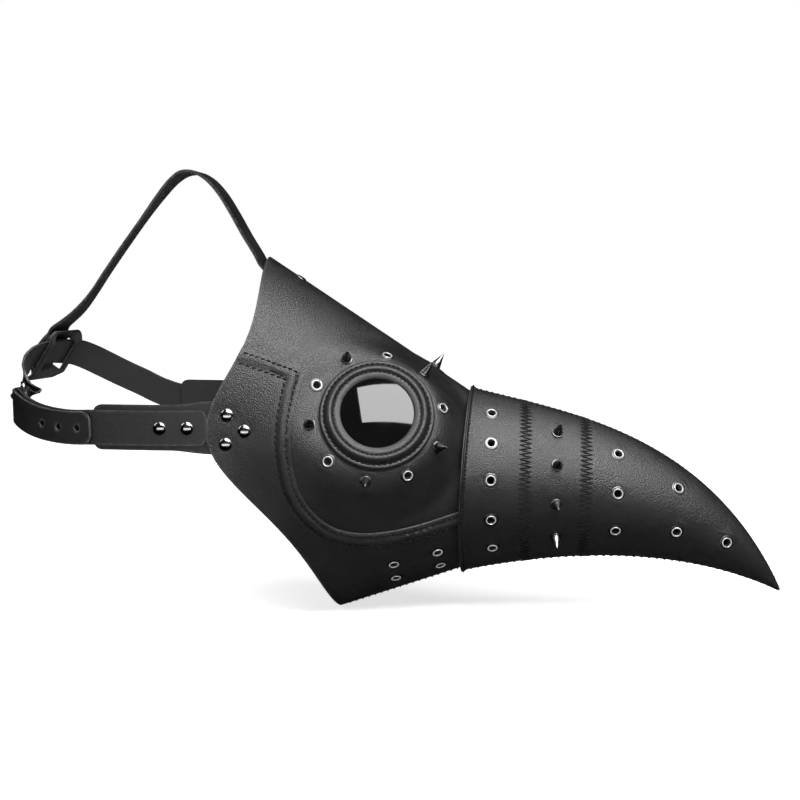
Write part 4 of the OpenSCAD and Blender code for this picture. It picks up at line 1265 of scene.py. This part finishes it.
def top_strap():
    tuck = np.array([FOREHEAD[0], 0, FOREHEAD[1]]) - (LEATHER + 5.2) * RIDGE_UP
    ribbon = over_head(tuck)
    rivet = nearest(ribbon, tuck + 24 * RIDGE)
    rows = np.linspace(-0.5, ribbon.length + 0.5, int(ribbon.length / 1.5))
    flat = Pattern(rows, np.linspace(-10.5, 10.5, 15))
    flat.cut(rounded(ribbon.length, STRAP_W, 4, 6), 0.4)
    flat.cut(holes_at([(rivet, 0)], 1.6), 0.4)
    start = nearest(ribbon, on_keeper(20.4, 5.8))

    def place(q, off):
        drop = ease((q[:, 0] - start) / 10) * (q[:, 1] / 10) ** 2
        return ribbon.place(q, off) - (3.4 * drop)[:, None] * KEEP_OUT

    piece = two_faced("top_strap_leather", flat, place, STRAP_T, ["top_strap"], bevel=0.45, material=STRAP,
                      slot="strap_leather", body=None)
    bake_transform(piece)


# ---- buckle ----
def tube(points, radius, closed=False, sides=16):
    """Vertices and faces of a round wire along the points; radius may change along it."""
    p = np.asarray(points, float)
    n = len(p)
    r = np.broadcast_to(radius, n)
    d = unit(np.roll(p, -1, 0) - np.roll(p, 1, 0) if closed else np.gradient(p, axis=0))
    u = np.empty_like(p)
    u[0] = unit(np.cross(d[0], HEEL_N + 0.01))
    for i in range(1, n):
        u[i] = unit(u[i - 1] - (u[i - 1] @ d[i]) * d[i])
    v = np.cross(d, u)
    a = np.arange(sides) * 2 * np.pi / sides
    ring = np.cos(a)[None, :, None] * u[:, None] + np.sin(a)[None, :, None] * v[:, None]
    verts = (p[:, None] + r[:, None, None] * ring).reshape(-1, 3)
    faces = [(i * sides + j, i * sides + (j + 1) % sides, (i + 1) % n * sides + (j + 1) % sides,
              (i + 1) % n * sides + j) for i in range(n if closed else n - 1) for j in range(sides)]
    if not closed:
        faces += [tuple(reversed(range(sides))), tuple(range((n - 1) * sides, n * sides))]
    return verts, faces


BUCKLE_LEN, FRONT_BEND, HEEL_BEND, PRONG_R = 18.0, 4.0, 1.6, 1.1


def buckle_path():
    """Points round the frame's wire: the heel bar, one side, the front bar and the other side."""
    half = STRAP_W / 2 + 0.6 + WIRE_R
    corner, front = half - HEEL_BEND, BUCKLE_LEN - FRONT_BEND
    flat = [(0, -corner), (0, corner)] + arc(HEEL_BEND, corner, HEEL_BEND, HEEL_BEND, 165, 90, 6)
    flat += [(front, half)] + arc(front, half - FRONT_BEND, FRONT_BEND, FRONT_BEND, 80, 0, 9)
    flat += [(BUCKLE_LEN, 0)] + [(x, -z) for x, z in flat[:2:-1]]
    flat += [(x, -z) for x, z in reversed(flat[2:8])]
    once = {}
    for x, z in flat:
        once.setdefault((round(x, 2), round(z, 2)), HEEL + x * HEEL_U + z * np.array([0, 0, 1.0]))
    return list(once.values())


def buckle():
    verts, faces = tube(buckle_path(), WIRE_R, closed=True)
    make("buckle_wire_frame", verts, faces, BUCKLE, "buckle_frame", ["buckle_frame"], "buckle_chrome",
         sharp=60)
    lift = math.degrees(math.atan((WIRE_R + PRONG_R + 0.15) / BUCKLE_LEN))
    along = cosd(lift) * HEEL_U + sind(lift) * HEEL_N
    loop = [HEEL + 2.32 * (cosd(a) * HEEL_U + sind(a) * HEEL_N) for a in range(0, 360, 20)]
    v1, f1 = tube(loop, 0.66, closed=True, sides=12)
    v1 = HEEL + (v1 - HEEL) * [1, 1, 2.2]
    shaft = {2.0: 1.08, 5: 1.08, 10: 1.08, 15: 1.05, 18: 1.0, 19.6: 0.95, 20.6: 0.8, 21.3: 0.5, 21.7: 0.15}
    v2, f2 = tube([HEEL + x * along for x in shaft], list(shaft.values()), sides=14)
    make("buckle_tongue", np.vstack([v1, v2]), f1 + [tuple(i + len(v1) for i in f) for f in f2], BUCKLE,
         "buckle_prong", ["buckle_prong"], "buckle_chrome", sharp=60)


studs()
sewing()
goggles()
lenses()
harness()
strap_keeper()
top_strap()
forehead_rivet()
buckle()

CARRIED = {"lens_retainer": STEEL, "eyelet_washers": STEEL, "spike_screws": STEEL}
for name, material in CARRIED.items():
    for node in (name, f"{name}_right", f"{name}_left"):
        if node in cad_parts:
            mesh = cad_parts[node].data
            mesh.materials.clear()
            mesh.materials.append(material)
            mesh.polygons.foreach_set("use_smooth", [True] * len(mesh.polygons))
            mesh.set_sharp_from_angle(angle=math.radians(35))
